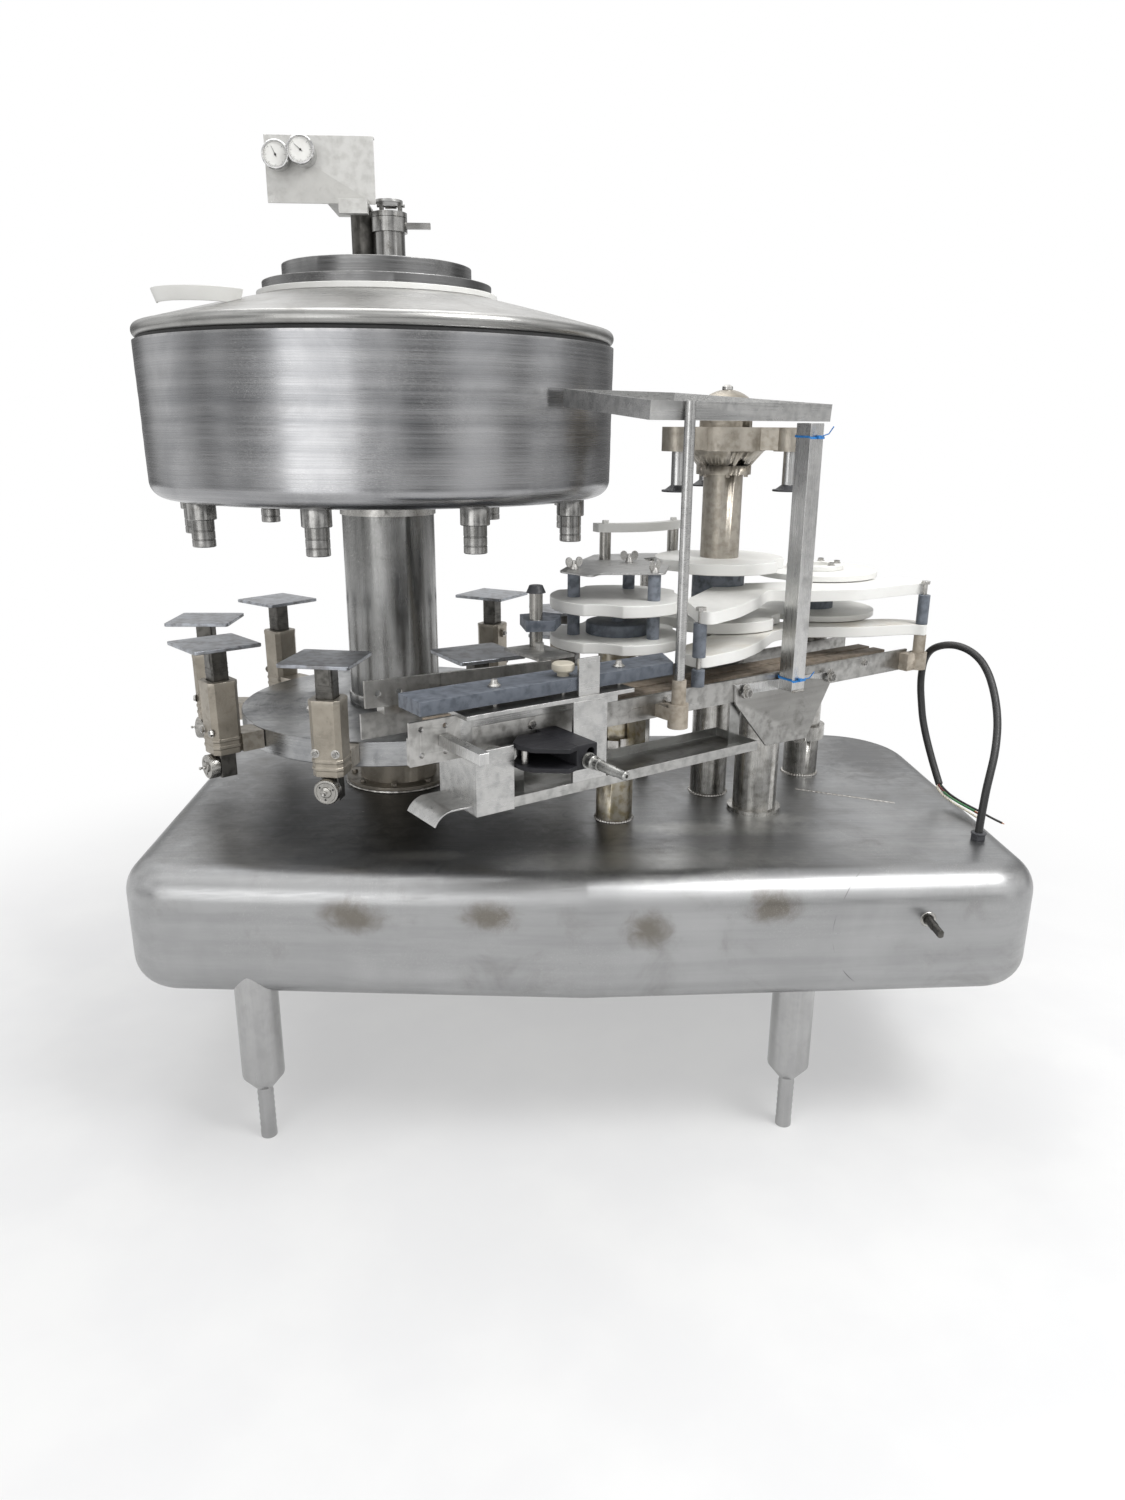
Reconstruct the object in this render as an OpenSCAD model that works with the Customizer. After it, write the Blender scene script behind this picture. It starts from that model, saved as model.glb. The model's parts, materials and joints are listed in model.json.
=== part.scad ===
// Rotary gravity filling machine for square jugs: nine stations round a bowl,
// a three-pocket transfer star, a three-head capper and a discharge star,
// beside a slanting conveyor, on a rounded hollow base with four legs.
// Millimetres, +Z up, +X to the right along the front, +Y to the back.
// The origin is on the floor, at the centre of the four feet.

/* [Layout] */
// Distance from jug to jug along the path of the pockets
pocket_pitch = 317; // [312:1:322]
// Turntable axis, to the left of the feet's centre
table_left = 323; // [315:1:331]
// Turntable axis, behind the feet's centre
table_back = 160; // [155:1:165]
// Distance of the conveyor's centreline from the feet's centre
conveyor_off = 382; // [380:1:388]
// Conveyor's reach from its foot point to the infeed end
conveyor_in = 550; // [530:1:570]
// Conveyor's reach from its foot point to the discharge end
conveyor_out = 770; // [764:1:776]

/* [Base] */
// Reach of the base to the left
base_left = 838; // [820:1:900]
// Reach of the base to the right
base_right = 1071; // [1060:1:1100]
// Reach of the base to the front, at the middle of its shallow V
base_front = 510; // [505:1:530]
// Reach of the base to the back
base_back = 560; // [550:1:600]
// Height of the base's underside above the floor
base_bottom = 355; // [320:1:420]
// Height of the base itself
base_h = 283; // [281:1:300]
// Sheet thickness of the base
base_wall = 4; // [3:0.5:6]
// Radius that rounds the base's long edges
base_edge_r = 70; // [60:1:80]
// How far the front face falls back at its left end
front_fall_left = 64; // [50:1:70]
// How far the front face falls back at its right end
front_fall_right = 22; // [10:1:30]

/* [Legs] */
// Half the distance between feet from left to right
foot_x = 572; // [560:1:600]
// Half the distance between feet from front to back
foot_y = 412; // [405:1:415]
// Radius of a leg tube
leg_r = 44.5; // [40:0.5:50]
// Radius of a levelling stem
stem_r = 17.5; // [14:0.5:20]
// Height of the leg tube's lower edge
leg_low = 160; // [140:1:180]
// Height of the cone under the leg tube
leg_cone_h = 32; // [20:1:40]

/* [Turntable] */
// Radius of the turntable disc
disc_r = 371; // [360:1:374]
// Height of the disc's top face
disc_top = 841; // [836:1:850]
// Thickness of the disc
disc_t = 57; // [50:1:60]
// Radius of the column under the bowl
column_r = 108; // [100:1:115]
// Radius of the spindle in the hub bearing
spindle_r = 60; // [55:1:65]
// Radius of the fixed standpipe inside the column
standpipe_r = 31; // [28:1:34]
// Radius of the hub bearing housing
hub_r = 95; // [90:1:100]

/* [Bowl] */
// Outer radius of the bowl at its rim
bowl_r = 526; // [515:1:535]
// How much narrower the bowl is at its foot
bowl_taper = 4; // [0:1:10]
// Height of the bowl's underside
bowl_bottom = 1340; // [1336:1:1350]
// Height of the bowl's rim
bowl_rim = 1661; // [1650:1:1680]
// Sheet thickness of the bowl
bowl_wall = 6; // [4:1:8]
// Radius of the bowl's rounded foot
bowl_foot_r = 36; // [30:1:38]
// Gap that the lid's seal takes between rim and lid
lid_gap = 9; // [6:1:12]
// Height of the lid's rolled edge
lid_edge_h = 25; // [20:1:30]
// Rise of the lid's cone
lid_rise = 62; // [55:1:68]
// Radius of the opening in the lid
lid_hole_r = 240; // [236:1:243]

/* [Top fittings] */
// Radius of the fixed cover's lower step
cover_r = 251; // [248:1:256]
// Radius of the fixed cover's upper step
cover_top_r = 207; // [200:1:215]
// Height of the fixed cover's lower step
cover_step_h = 20; // [18:1:24]
// Height of the fixed cover's upper step
cover_top_h = 36; // [30:1:40]
// Outer radius of the white seal ring
seal_r = 264; // [260:1:268]
// Thickness of the white seal ring
seal_t = 12; // [10:1:14]
// Outer radius of the product inlet tube and of the post behind it
inlet_r = 32; // [30:1:34]
// Wall of the product inlet tube
inlet_wall = 2.5; // [2:0.5:4]
// Height of the inlet tube above the cover
inlet_h = 105; // [95:1:115]
// Width of the gauge panel
panel_w = 226; // [210:1:240]
// Height of the gauge panel
panel_h = 128; // [120:1:140]
// Radius of a gauge case
gauge_r = 28; // [24:1:30]

/* [Jug platforms] */
// Side of a square jug platform
platform_w = 150; // [140:1:152]
// Thickness of a jug platform
platform_t = 8; // [6:1:10]
// Height of the jug platforms at rest, raised
platform_top = 1044; // [1040:1:1046]
// Downward travel of a jug platform
platform_travel = 65; // [50:1:66]
// Side of the square lifting shaft
lift_w = 38; // [34:1:40]
// Width of a cast pedestal housing
pedestal_w = 66; // [62:1:72]
// Height of the housing's top face
pedestal_top = 961; // [955:1:965]
// Height of the housing's bottom face
pedestal_bottom = 797; // [794:1:802]
// Radius of a cam roller
roller_r = 27; // [24:1:30]

/* [Nozzles] */
// Radius of a nozzle's upper bush
nozzle_bush_r = 30; // [27:1:32]
// Radius of a nozzle's outlet tube
nozzle_r = 24; // [22:1:26]
// Bore radius of a nozzle
nozzle_bore_r = 19; // [15:1:20]
// Height of the nozzle tips
nozzle_tip = 1248; // [1244:1:1252]

/* [Stars and guides] */
// Outer radius of the star plates
star_r = 148; // [145:1:150]
// Thickness of the star plates and guide plates
plate_t = 25; // [22:1:26]
// Height of the lower star and guide plates' underside
guide_low = 1030; // [1028:1:1032]
// Height of the upper star and guide plates' underside
guide_high = 1124; // [1120:1:1126]
// Radius of a plastic spacer
spacer_r = 13.5; // [12:0.5:15]
// Thickness of the thin discs that lie over the guide plates
thin_disc_t = 14; // [12:1:15]
// Running gap between fixed and turning plates
plate_gap = 2; // [1.5:0.5:3]
// Length of the guide plates
guide_l = 650; // [640:1:656]
// Width of the guide plates
guide_w = 500; // [490:1:506]

/* [Capper] */
// Radius of the capper's column
capper_r = 44; // [40:1:46]
// Radius of the capper head's flange
capper_flange_r = 61; // [58:1:64]
// Underside of the capper head's flange
capper_low = 1394; // [1390:1:1400]
// Underside of the capper head's lugs
lug_low = 1445; // [1440:1:1448]
// Top of the capper head's lugs
lug_top = 1495; // [1490:1:1497]
// Radius of a plunger rod
plunger_r = 13.5; // [12:0.5:15]
// Radius of a plunger's foot
plunger_foot_r = 33; // [28:1:34]
// Length of a plunger rod below its lug
plunger_l = 85; // [80:1:90]
// Downward travel of a plunger
plunger_travel = 40; // [30:1:45]

/* [Conveyor] */
// Distance between the outer faces of the side rails
rail_span = 190; // [186:1:194]
// Thickness of the side rails and bracket plates
rail_t = 6; // [5:0.5:6]
// Height of the side rails' upper edge
rail_top = 995; // [992:1:998]
// Height of the side rails themselves
rail_h = 48; // [46:1:50]
// Length of the plastic wear rail
wear_l = 545; // [530:1:550]
// Width of the plastic wear rail
wear_w = 78; // [74:1:80]
// Thickness of the plastic wear rail
wear_t = 24; // [20:1:26]
// Height of the wear rail's top face
wear_top = 1065; // [1060:1:1068]
// Radius of the conveyor's post
post_r = 50; // [46:1:52]
// Radius of the transfer star's column
column_a_r = 41.5; // [38:0.5:44]
// Side of the square mast
mast_w = 38; // [36:1:40]
// Height of the mast's top
mast_top = 1507; // [1504:1:1510]
// Radius of the tray's round support rod
rod_r = 10; // [8:0.5:11]

/* [Drive] */
// Face width of a gear
gear_t = 28; // [24:1:30]
// Radius of the star shafts
shaft_r = 20; // [18:1:22]
// Radial running gap of a shaft in its bearing
fit = 0.05; // [0.03:0.01:0.08]
// Radius of the crank stub
crank_r = 9; // [8:0.5:10]

/* [Cable] */
// Diameter of the cable
cable_d = 17; // [14:1:18]

/* [Hidden] */
$fn = 64;
// Extra length of every cutting tool
over = 5;
// Gap left between two pieces of the fixed frame that are assembled with play
seat = 0.2;
// Gap between moving pieces that only pass each other
pass_gap = 0.3;
sheet = 3;
overlap_r = 12;

station_count = 9;
pocket_count = 3;
first_station_angle = -100.8;
transfer_angle = -30.25;
capper_angle = 35.3;
discharge_angle = 28.5;
conveyor_angle = 33;
star_phase = 12;
head_phase = -23.5;

function polar(r, a) = [r * cos(a), r * sin(a)];
table_pitch_r = pocket_pitch * station_count / (2 * PI);
star_pitch_r = pocket_pitch * pocket_count / (2 * PI);
table_at = [-table_left, table_back];
star_at = table_at + polar(table_pitch_r + star_pitch_r, transfer_angle);
capper_at = star_at + polar(2 * star_pitch_r, capper_angle);
discharge_at = capper_at + polar(2 * star_pitch_r, discharge_angle);

base_top = base_bottom + base_h;
base_inner_top = base_top - base_wall;
corner_r = 45;
rear_left_r = 120;
rear_right_r = 150;
apex_x = 120;
floor_t = 6;
floor_x = 520;
floor_y = 350;
opening_x = 500;
opening_y = 330;
gland_x = 986;
gland_y = -299;
gland_r = 17;
gland_h = 14;
crank_x = 813;
crank_z = base_bottom + 188;
crank_boss_r = 24;
crank_boss_l = 26;
crank_l = 66;
crank_step = 3;
crank_shaft_r = crank_r + 2 * crank_step / 3;
crank_end_r = crank_r - 1;

rim_z = bowl_rim + lid_gap;
lid_top = rim_z + lid_edge_h + lid_rise;
cover_z = lid_top + pass_gap + seal_t;
cover_top = cover_z + cover_step_h + cover_top_h;
bush_h = 36;
bowl_tube_r = 45;
bowl_tube_top = bowl_rim - 41;
standpipe_neck_z = bowl_rim - 61;
standpipe_neck_r = 16;
hub_top = disc_top - disc_t - plate_gap - plate_gap;
hub_foot_h = 245;
hub_bottom = base_bottom + hub_foot_h;
hub_flange_r = 130;
hub_flange_t = 12;
spindle_foot_h = 190;
spindle_low = base_bottom + spindle_foot_h;

main_teeth = 72;
pinion_teeth = 21;
transfer_teeth = 24;
star_teeth = 45;
tooth_sum = main_teeth + 4 * pinion_teeth + transfer_teeth;
gear_module = 2 * (table_pitch_r + star_pitch_r) / tooth_sum;
main_r = gear_module * main_teeth / 2;
pinion_r = gear_module * pinion_teeth / 2;
transfer_r = gear_module * transfer_teeth / 2;
gear_low = base_inner_top - 2 * gear_t - 20;
gear_high = gear_low + gear_t + 6;

module ring(outer, inner, h) {
    difference() {
        cylinder(r = outer, h = h);
        translate([0, 0, -over]) cylinder(r = inner, h = h + 2 * over);
    }
}
module bolt(r, h) {
    cylinder(r = r, h = h, $fn = 6);
}
module at(p, z) {
    translate([p[0], p[1], z]) children();
}
module on_table() {
    at(table_at, 0) children();
}
// Conveyor frame: x runs along the conveyor, y is minus the distance to its front
module on_conveyor() {
    rotate([0, 0, conveyor_angle]) children();
}
module stations() {
    for (i = [0 : station_count - 1])
        on_table() rotate([0, 0, first_station_angle + i * 360 / station_count])
            translate([table_pitch_r, 0, 0]) children();
}
module bolts_round(n, r, size, h, z, turn = 0) {
    for (i = [0 : n - 1])
        rotate([0, 0, turn + i * 360 / n]) translate([r, 0, z]) bolt(size, h);
}
bolt_r = 8;
bolt_h = 7;

// Base: five round corners joined by straight walls, with rounded long edges
module corner_ring(x, y, r, inset) {
    edge = base_edge_r - inset;
    for (z = [base_bottom + base_edge_r, base_top - base_edge_r])
        translate([x, y, z]) rotate_extrude($fn = 36)
            intersection() {
                translate([r, 0]) circle(r = edge, $fn = 36);
                translate([0, -edge]) square([r + edge, 2 * edge]);
            }
}
module base_form(inset) {
    small = corner_r + base_edge_r;
    rear_l = rear_left_r + base_edge_r;
    rear_r = rear_right_r + base_edge_r;
    hull() {
        corner_ring(small - base_left, front_fall_left + small - base_front, corner_r, inset);
        corner_ring(apex_x, small - base_front, corner_r, inset);
        corner_ring(base_right - small, front_fall_right + small - base_front, corner_r, inset);
        corner_ring(base_right - rear_r, base_back - rear_r, rear_right_r, inset);
        corner_ring(rear_l - base_left, base_back - rear_l, rear_left_r, inset);
    }
}
crank_face_share = (crank_x - apex_x) / (base_right - corner_r - base_edge_r - apex_x);
crank_face_y = front_fall_right * crank_face_share - base_front;
module base_housing() {
    color([0.55, 0.55, 0.54]) difference() {
        union() {
            difference() {
                base_form(0);
                base_form(base_wall);
                translate([-opening_x, -opening_y, base_bottom - over])
                    cube([2 * opening_x, 2 * opening_y, base_wall + 2 * over]);
                at(table_at, base_inner_top - over) cylinder(r = hub_r + seat, h = base_wall + 2 * over);
                for (p = [star_at, capper_at, discharge_at])
                    at(p, base_inner_top - over)
                        cylinder(r = shaft_r + over, h = base_wall + 2 * over);
                translate([crank_x, crank_face_y - over, crank_z]) rotate([-90, 0, 0])
                    cylinder(r = crank_boss_r, h = base_wall + 2 * over);
            }
            translate([crank_x, crank_face_y, crank_z]) rotate([-90, 0, 0])
                cylinder(r = crank_boss_r, h = crank_boss_l);
            translate([gland_x, gland_y, base_top]) cylinder(r = gland_r, h = gland_h, $fn = 24);
        }
        translate([crank_x, crank_face_y - over, crank_z]) rotate([-90, 0, 0])
            cylinder(r = crank_shaft_r + fit, h = crank_boss_l + 2 * over);
        translate([gland_x, gland_y, base_top + base_wall])
            cylinder(r = cable_d / 2 + seat, h = gland_h, $fn = 24);
    }
}

idler_at = table_at + polar(main_r + 2 * pinion_r + pinion_r, transfer_angle);
pinion_at = table_at + polar(main_r + pinion_r, transfer_angle);
pedestal_r = 30;
idler_pin_r = 15;
module base_floor() {
    color([0.45, 0.45, 0.45]) {
        difference() {
            translate([-floor_x, -floor_y, base_bottom - floor_t])
                cube([2 * floor_x, 2 * floor_y, floor_t]);
            for (x = [-1, 1]) translate([x * (floor_x + opening_x) / 2, 0, base_bottom - floor_t - over])
                for (y = [-1, 0, 1]) translate([0, y * opening_y, 0])
                    cylinder(r = bolt_r / 2, h = floor_t + 2 * over);
        }
        at(idler_at, base_bottom) cylinder(r = pedestal_r, h = gear_low - base_bottom - plate_gap);
        at(idler_at, base_bottom) cylinder(r = idler_pin_r, h = gear_low + gear_t + plate_gap - base_bottom);
        for (p = [star_at, capper_at])
            at(p, base_bottom) ring(2 * shaft_r, shaft_r + fit, foot_bearing_h);
        at(discharge_at, base_bottom + base_wall) ring(2 * shaft_r, shaft_r + fit, foot_bearing_h);
    }
}
foot_bearing_h = 30;

module legs() {
    color([0.6, 0.6, 0.6]) difference() {
        for (x = [-foot_x, foot_x]) for (y = [-foot_y, foot_y]) translate([x, y, 0]) {
            cylinder(r = stem_r, h = leg_low);
            translate([0, 0, leg_low - leg_cone_h])
                cylinder(r1 = stem_r, r2 = leg_r, h = leg_cone_h, $fn = 64);
            translate([0, 0, leg_low]) cylinder(r = leg_r, h = base_bottom + base_edge_r - leg_low);
        }
        base_form(0);
    }
}

// Gears: involute teeth drawn as trapezoids
root_share = 1.15;
tip_share = 0.9;
root_width_share = 0.31;
tip_width_share = 0.11;
function mesh_turn(turn, line, teeth, next) = line + 180 - (turn - line) * teeth / next - 180 / next;
module gear(teeth, pitch_r, turn) {
    size = 2 * pitch_r / teeth;
    root = pitch_r - root_share * size;
    tip = pitch_r + tip_share * size;
    step = 360 / teeth;
    rotate([0, 0, turn]) linear_extrude(gear_t) polygon([
        for (i = [0 : teeth - 1]) for (k = [
            [root, -root_width_share], [tip, -tip_width_share],
            [tip, tip_width_share], [root, root_width_share]
        ]) polar(k[0], (i + k[1]) * step)
    ]);
}
pinion_turn = mesh_turn(0, transfer_angle, main_teeth, pinion_teeth);
idler_turn = mesh_turn(pinion_turn, transfer_angle, pinion_teeth, pinion_teeth);
transfer_turn = mesh_turn(idler_turn, transfer_angle, pinion_teeth, transfer_teeth);
capper_turn = mesh_turn(0, capper_angle, star_teeth, star_teeth);
discharge_turn = mesh_turn(capper_turn, discharge_angle, star_teeth, star_teeth);

reducer_w = 160;
reducer_top = gear_low - 20;
reducer_low = reducer_top - 170;
motor_r = 90;
motor_l = 260;
pinion_shaft_r = 20;
module gearmotor() {
    color([0.3, 0.38, 0.42]) at(pinion_at, 0) {
        difference() {
            translate([-reducer_w / 2, -reducer_w / 2, base_bottom])
                cube([reducer_w, reducer_w, reducer_top - base_bottom]);
            translate([0, 0, base_bottom + over])
                cylinder(r = pinion_shaft_r + fit, h = reducer_top - base_bottom);
        }
        translate([-reducer_w / 2, 0, base_bottom + motor_r]) rotate([0, -90, 0])
            cylinder(r = motor_r, h = motor_l);
    }
}
module drive_pinion() {
    color([0.5, 0.5, 0.5]) at(pinion_at, 0) {
        translate([0, 0, gear_low]) gear(pinion_teeth, pinion_r, pinion_turn);
        translate([0, 0, base_bottom + over + plate_gap])
            cylinder(r = pinion_shaft_r, h = gear_low - base_bottom - over - plate_gap);
    }
}
module idler_gear() {
    color([0.5, 0.5, 0.5]) at(idler_at, gear_low) difference() {
        gear(pinion_teeth, pinion_r, idler_turn);
        translate([0, 0, -over]) cylinder(r = idler_pin_r + fit, h = gear_t + 2 * over);
    }
}
module main_gear() {
    color([0.5, 0.5, 0.5]) at(table_at, gear_low) difference() {
        gear(main_teeth, main_r, 0);
        translate([0, 0, -over]) cylinder(r = spindle_r, h = gear_t + 2 * over);
        bolts_round(6, (spindle_r + main_r) / 2, spindle_r * 0.7, gear_t + 2 * over, -over);
    }
}
module hub_bearing() {
    color([0.6, 0.6, 0.6]) on_table() {
        translate([0, 0, hub_bottom]) ring(hub_r, spindle_r + fit, hub_top - hub_bottom);
        translate([0, 0, base_top]) ring(hub_flange_r, hub_r, hub_flange_t);
        bolts_round(8, (hub_flange_r + hub_r) / 2, bolt_r, bolt_h, base_top + hub_flange_t);
    }
}

// Fixed posts, which hold the star shafts and the conveyor
post_b = [535, -93];
post_top = guide_low - plate_gap - plate_gap;
collar_low = base_top + 132;
collar_h = 70;
collar_wall = 12;
rail_low = rail_top - rail_h;
saddle_t = 10;
saddle_w = 116;
rear_post_at = [300, 170];
rear_plate_z = guide_high + 66;
gusset_s = 84;
gusset_t = 10;
module post(p, r, low, top) {
    at(p, base_top) difference() {
        cylinder(r = r, h = top - base_top);
        translate([0, 0, -over]) cylinder(r = shaft_r + fit, h = top - base_top + 2 * over);
    }
}
module collar(p, r, z, h, turn) {
    at(p, z) {
        ring(r + collar_wall, r, h);
        rotate([0, 0, turn]) translate([r + collar_wall - over, -collar_wall, 0])
            cube([collar_wall + over, 2 * collar_wall, h]);
        rotate([0, 0, turn]) translate([r + 2 * collar_wall - collar_wall / 2, -collar_wall, h / 2])
            rotate([90, 0, 0]) bolt(bolt_r, bolt_h);
    }
}
module support_columns() {
    color([0.62, 0.6, 0.55]) {
        post(star_at, column_a_r, base_top, post_top);
        collar(star_at, column_a_r, collar_low, collar_h, -100);
        post(capper_at, capper_r, base_top, post_top);
        post(discharge_at, capper_r - seat * over, base_top, post_top);
        collar(discharge_at, capper_r - seat * over, collar_low - collar_h / 2, collar_h / 2, -112);
        at(post_b, base_top) cylinder(r = post_r, h = rail_low - saddle_t - base_top);
        at(post_b, base_top) cylinder(r = post_r + collar_wall, h = saddle_t);
        on_conveyor() translate([post_b_s - saddle_w / 2, -conveyor_off - rail_span / 2, rail_low - saddle_t])
            cube([saddle_w, rail_span, saddle_t]);
        at(rear_post_at, base_top) cylinder(r = stem_r, h = rear_plate_z - base_top);
        on_conveyor() difference() {
            translate([gusset_s, rail_span / 2 - conveyor_off - rail_t - gusset_reach, collar_low])
                cube([gusset_t, 2 * gusset_reach, rail_low - collar_low]);
            translate([star_s, -star_n, 0])
                cylinder(r = column_a_r + collar_wall / 2, h = 2 * base_top);
        }
    }
}
gusset_reach = 46;
function s_of(p) = p[0] * cos(conveyor_angle) + p[1] * sin(conveyor_angle);
function n_of(p) = p[0] * sin(conveyor_angle) - p[1] * cos(conveyor_angle);
star_s = s_of(star_at);
star_n = n_of(star_at);
post_b_s = s_of(post_b);
front_n = conveyor_off + rail_span / 2;
back_n = conveyor_off - rail_span / 2;
// A box in the conveyor frame, from s0 to s1 along it and n0 to n1 towards its front
module slab(s0, s1, n0, n1, z0, z1) {
    translate([s0, -n1, z0]) cube([s1 - s0, n1 - n0, z1 - z0]);
}
bar_r = 10;
bar_z = rail_top - 37;
bar_shares = [-0.7, -0.2, 0.32, 0.8];
end_plate_l = 98;
end_plate_z = rail_low - 1;
lip_drop = 18;
lip_z = wear_top - wear_t - lip_drop;
end_plate_up = 29;
end_plate_top = min(rail_top + end_plate_up, lip_z);
end_hole_r = 5;
end_hole_pitch = 46;
end_hole_at = [45, rail_top - 9];
module side_rails() {
    color([0.62, 0.62, 0.6]) on_conveyor() {
        difference() {
            slab(-conveyor_in, conveyor_out, front_n - rail_t, front_n, rail_low, rail_top);
            end_holes();
        }
        slab(-conveyor_in, conveyor_out, back_n, back_n + rail_t, rail_low, rail_top);
        difference() {
            slab(-conveyor_in, end_plate_l - conveyor_in, front_n, front_n + rail_t,
                 end_plate_z, end_plate_top);
            end_holes();
        }
        for (k = bar_shares)
            translate([k * conveyor_in, -(front_n - rail_t), bar_z])
                rotate([-90, 0, 0]) cylinder(r = bar_r, h = rail_span - 2 * rail_t);
    }
}
module end_holes() {
    for (i = [-0.5, 0.5]) for (j = [-0.5, 0.5])
        translate([end_hole_at[0] - conveyor_in + i * end_hole_pitch,
                   -front_n - rail_t - over, end_hole_at[1] + j * end_hole_pitch])
            rotate([-90, 0, 0]) cylinder(r = end_hole_r, h = 2 * rail_t + 2 * over);
}
strip_w = 34;
strip_gap = 12;
module chain_strips() {
    color([0.5, 0.42, 0.33]) on_conveyor() for (side = [-1, 1]) {
        mid = conveyor_off + side * (strip_w + strip_gap) / 2;
        slab(end_plate_l - conveyor_in, conveyor_out - bar_r, mid - strip_w / 2, mid + strip_w / 2,
             bar_z + bar_r, rail_top - bar_r);
    }
}
pan_s = [-374, 235];
pan_n = [400, 525];
pan_low = rail_low - 97;
pan_top = pan_low + 20;
pan_t = 2.5;
strap_w = 30;
module drip_pan() {
    color([0.6, 0.6, 0.6]) on_conveyor() {
        difference() {
            slab(pan_s[0], pan_s[1], pan_n[0], pan_n[1], pan_low, pan_top);
            slab(pan_s[0] + pan_t, pan_s[1] - pan_t, pan_n[0] + pan_t, pan_n[1] - pan_t,
                 pan_low + pan_t, pan_top + over);
        }
        for (s = [pan_s[0] + strap_w, pan_s[1] - strap_w - pan_t])
            slab(s, s + strap_w, front_n - rail_t - pan_t, front_n - rail_t,
                 pan_low + pan_t, rail_top - bar_r);
    }
}

// Infeed bracket: U plate, ramp, lip under the wear rail, straps, bar and knob
u_s = [end_plate_l - conveyor_in + seat, -374];
bracket_n = 526;
lip_t = 8;
ramp_s = [-535, -440];
ramp_n = [420, 520];
ramp_curl_r = 40;
knob_r = 20;
knob_s = -240;
stud_s = [-386, -112];
lip_s = [-464, -103];
lip_in = 40;
web_h = 21;
tab_s = [-243, -166];
strap_s = [-228, -181];
strap_up = 35;
square_s = [-496, -476];
square_l = 108;
square_h = 20;
knob_h = 27;
module infeed_bracket() {
    color([0.6, 0.6, 0.6]) on_conveyor() {
        slab(u_s[0], u_s[1], bracket_n, bracket_n + rail_t, pan_low, rail_low + web_h);
        slab(u_s[0], u_s[0] + rail_t, pan_n[0], bracket_n, pan_low, rail_low);
        slab(u_s[0], u_s[1], front_n, bracket_n, rail_low, rail_low + rail_t);
        slab(lip_s[0], lip_s[1], front_n - lip_in, bracket_n, lip_z, lip_z + lip_t);
        slab(lip_s[0], lip_s[1], front_n - rail_t, front_n, rail_top, lip_z);
        slab(tab_s[0], tab_s[1], bracket_n - rail_t, bracket_n, pan_top, lip_z);
        slab(strap_s[0], strap_s[1], wear_n[1], wear_n[1] + rail_t, lip_z + lip_t, wear_top + strap_up);
        slab(square_s[0], square_s[1], front_n + rail_t, front_n + square_l, rail_top - square_h, rail_top);
        slab(ramp_s[0], ramp_s[1], ramp_n[0], ramp_n[1], pan_low - pan_t, pan_low);
        translate([ramp_s[0], -ramp_n[0], pan_low - ramp_curl_r]) rotate([90, 0, 0])
            rotate([0, 0, 90]) intersection() {
                ring(ramp_curl_r, ramp_curl_r - pan_t, ramp_n[1] - ramp_n[0]);
                cube([ramp_curl_r, ramp_curl_r, 2 * (ramp_n[1] - ramp_n[0])]);
            }
        for (s = stud_s) translate([s, -wear_mid, lip_z + lip_t])
            cylinder(r = end_hole_r, h = wear_top + bolt_h + over - lip_z - lip_t);
        for (s = stud_s) translate([s, -wear_mid, wear_top]) bolt(knob_r / 2, bolt_h);
        translate([knob_s, -wear_mid, lip_z + lip_t])
            cylinder(r = end_hole_r, h = wear_top - lip_z - lip_t);
        translate([knob_s, -wear_mid, wear_top]) cylinder(r = knob_r / 2, h = lip_t);
        translate([knob_s, -wear_mid, wear_top + lip_t]) cylinder(r = knob_r, h = knob_h);
    }
}
wear_n = [conveyor_off + 55, conveyor_off + 55 + wear_w];
wear_mid = (wear_n[0] + wear_n[1]) / 2 + rail_t * 2;
module wear_rail() {
    color([0.42, 0.47, 0.52]) on_conveyor() difference() {
        translate([0, 0, wear_top - wear_t]) linear_extrude(wear_t)
            polygon([[-wear_l, -wear_n[1]], [0, -wear_n[1]], [wear_w / 2, -wear_n[0]],
                     [-wear_l, -wear_n[0]]]);
        for (s = concat(stud_s, [knob_s])) translate([s, -wear_mid, 0])
            cylinder(r = end_hole_r, h = 2 * wear_top);
    }
}

// Flat guide bar behind the infeed, with its brackets
bar_s = [-549, -173];
bar_n = [307, 349];
guide_bar_h = 50;
guide_bar_z = rail_top + 15;
guide_bar_l = norm([bar_s[1] - bar_s[0], bar_n[1] - bar_n[0]]);
guide_bar_turn = -atan2(bar_n[1] - bar_n[0], bar_s[1] - bar_s[0]);
bar_hole_r = 6;
bar_foot_s = [[-515, -485], [-215, -175]];
bar_foot_n = [318, 355];
arm_s = -200;
arm_n = 352;
arm_bolt = [16, 36];
arm_z = guide_bar_z + guide_bar_h;
finger_post = [20, -280];
module guide_bar() {
    color([0.6, 0.6, 0.6]) on_conveyor() {
        translate([bar_s[0], -bar_n[0], guide_bar_z]) rotate([0, 0, guide_bar_turn]) difference() {
            translate([0, -rail_t, 0]) cube([guide_bar_l, rail_t, guide_bar_h]);
            for (x = [guide_bar_h / 2, guide_bar_h * 1.3]) translate([x, over, guide_bar_h / 2])
                rotate([90, 0, 0]) cylinder(r = bar_hole_r, h = rail_t + 2 * over);
        }
        slab(bar_foot_s[0][0], bar_foot_s[0][1], back_n, bar_foot_n[0], rail_top, guide_bar_z);
        slab(bar_foot_s[1][0], bar_foot_s[1][1], back_n, bar_foot_n[1], rail_top, guide_bar_z);
        slab(arm_s, finger_s + knob_r, finger_n - knob_r, arm_n, arm_z, arm_z + rail_t);
        translate([finger_s - arm_bolt[0], -finger_n - arm_bolt[1], arm_z + rail_t])
            bolt(knob_r / 2, 2 * bolt_h);
    }
}
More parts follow.
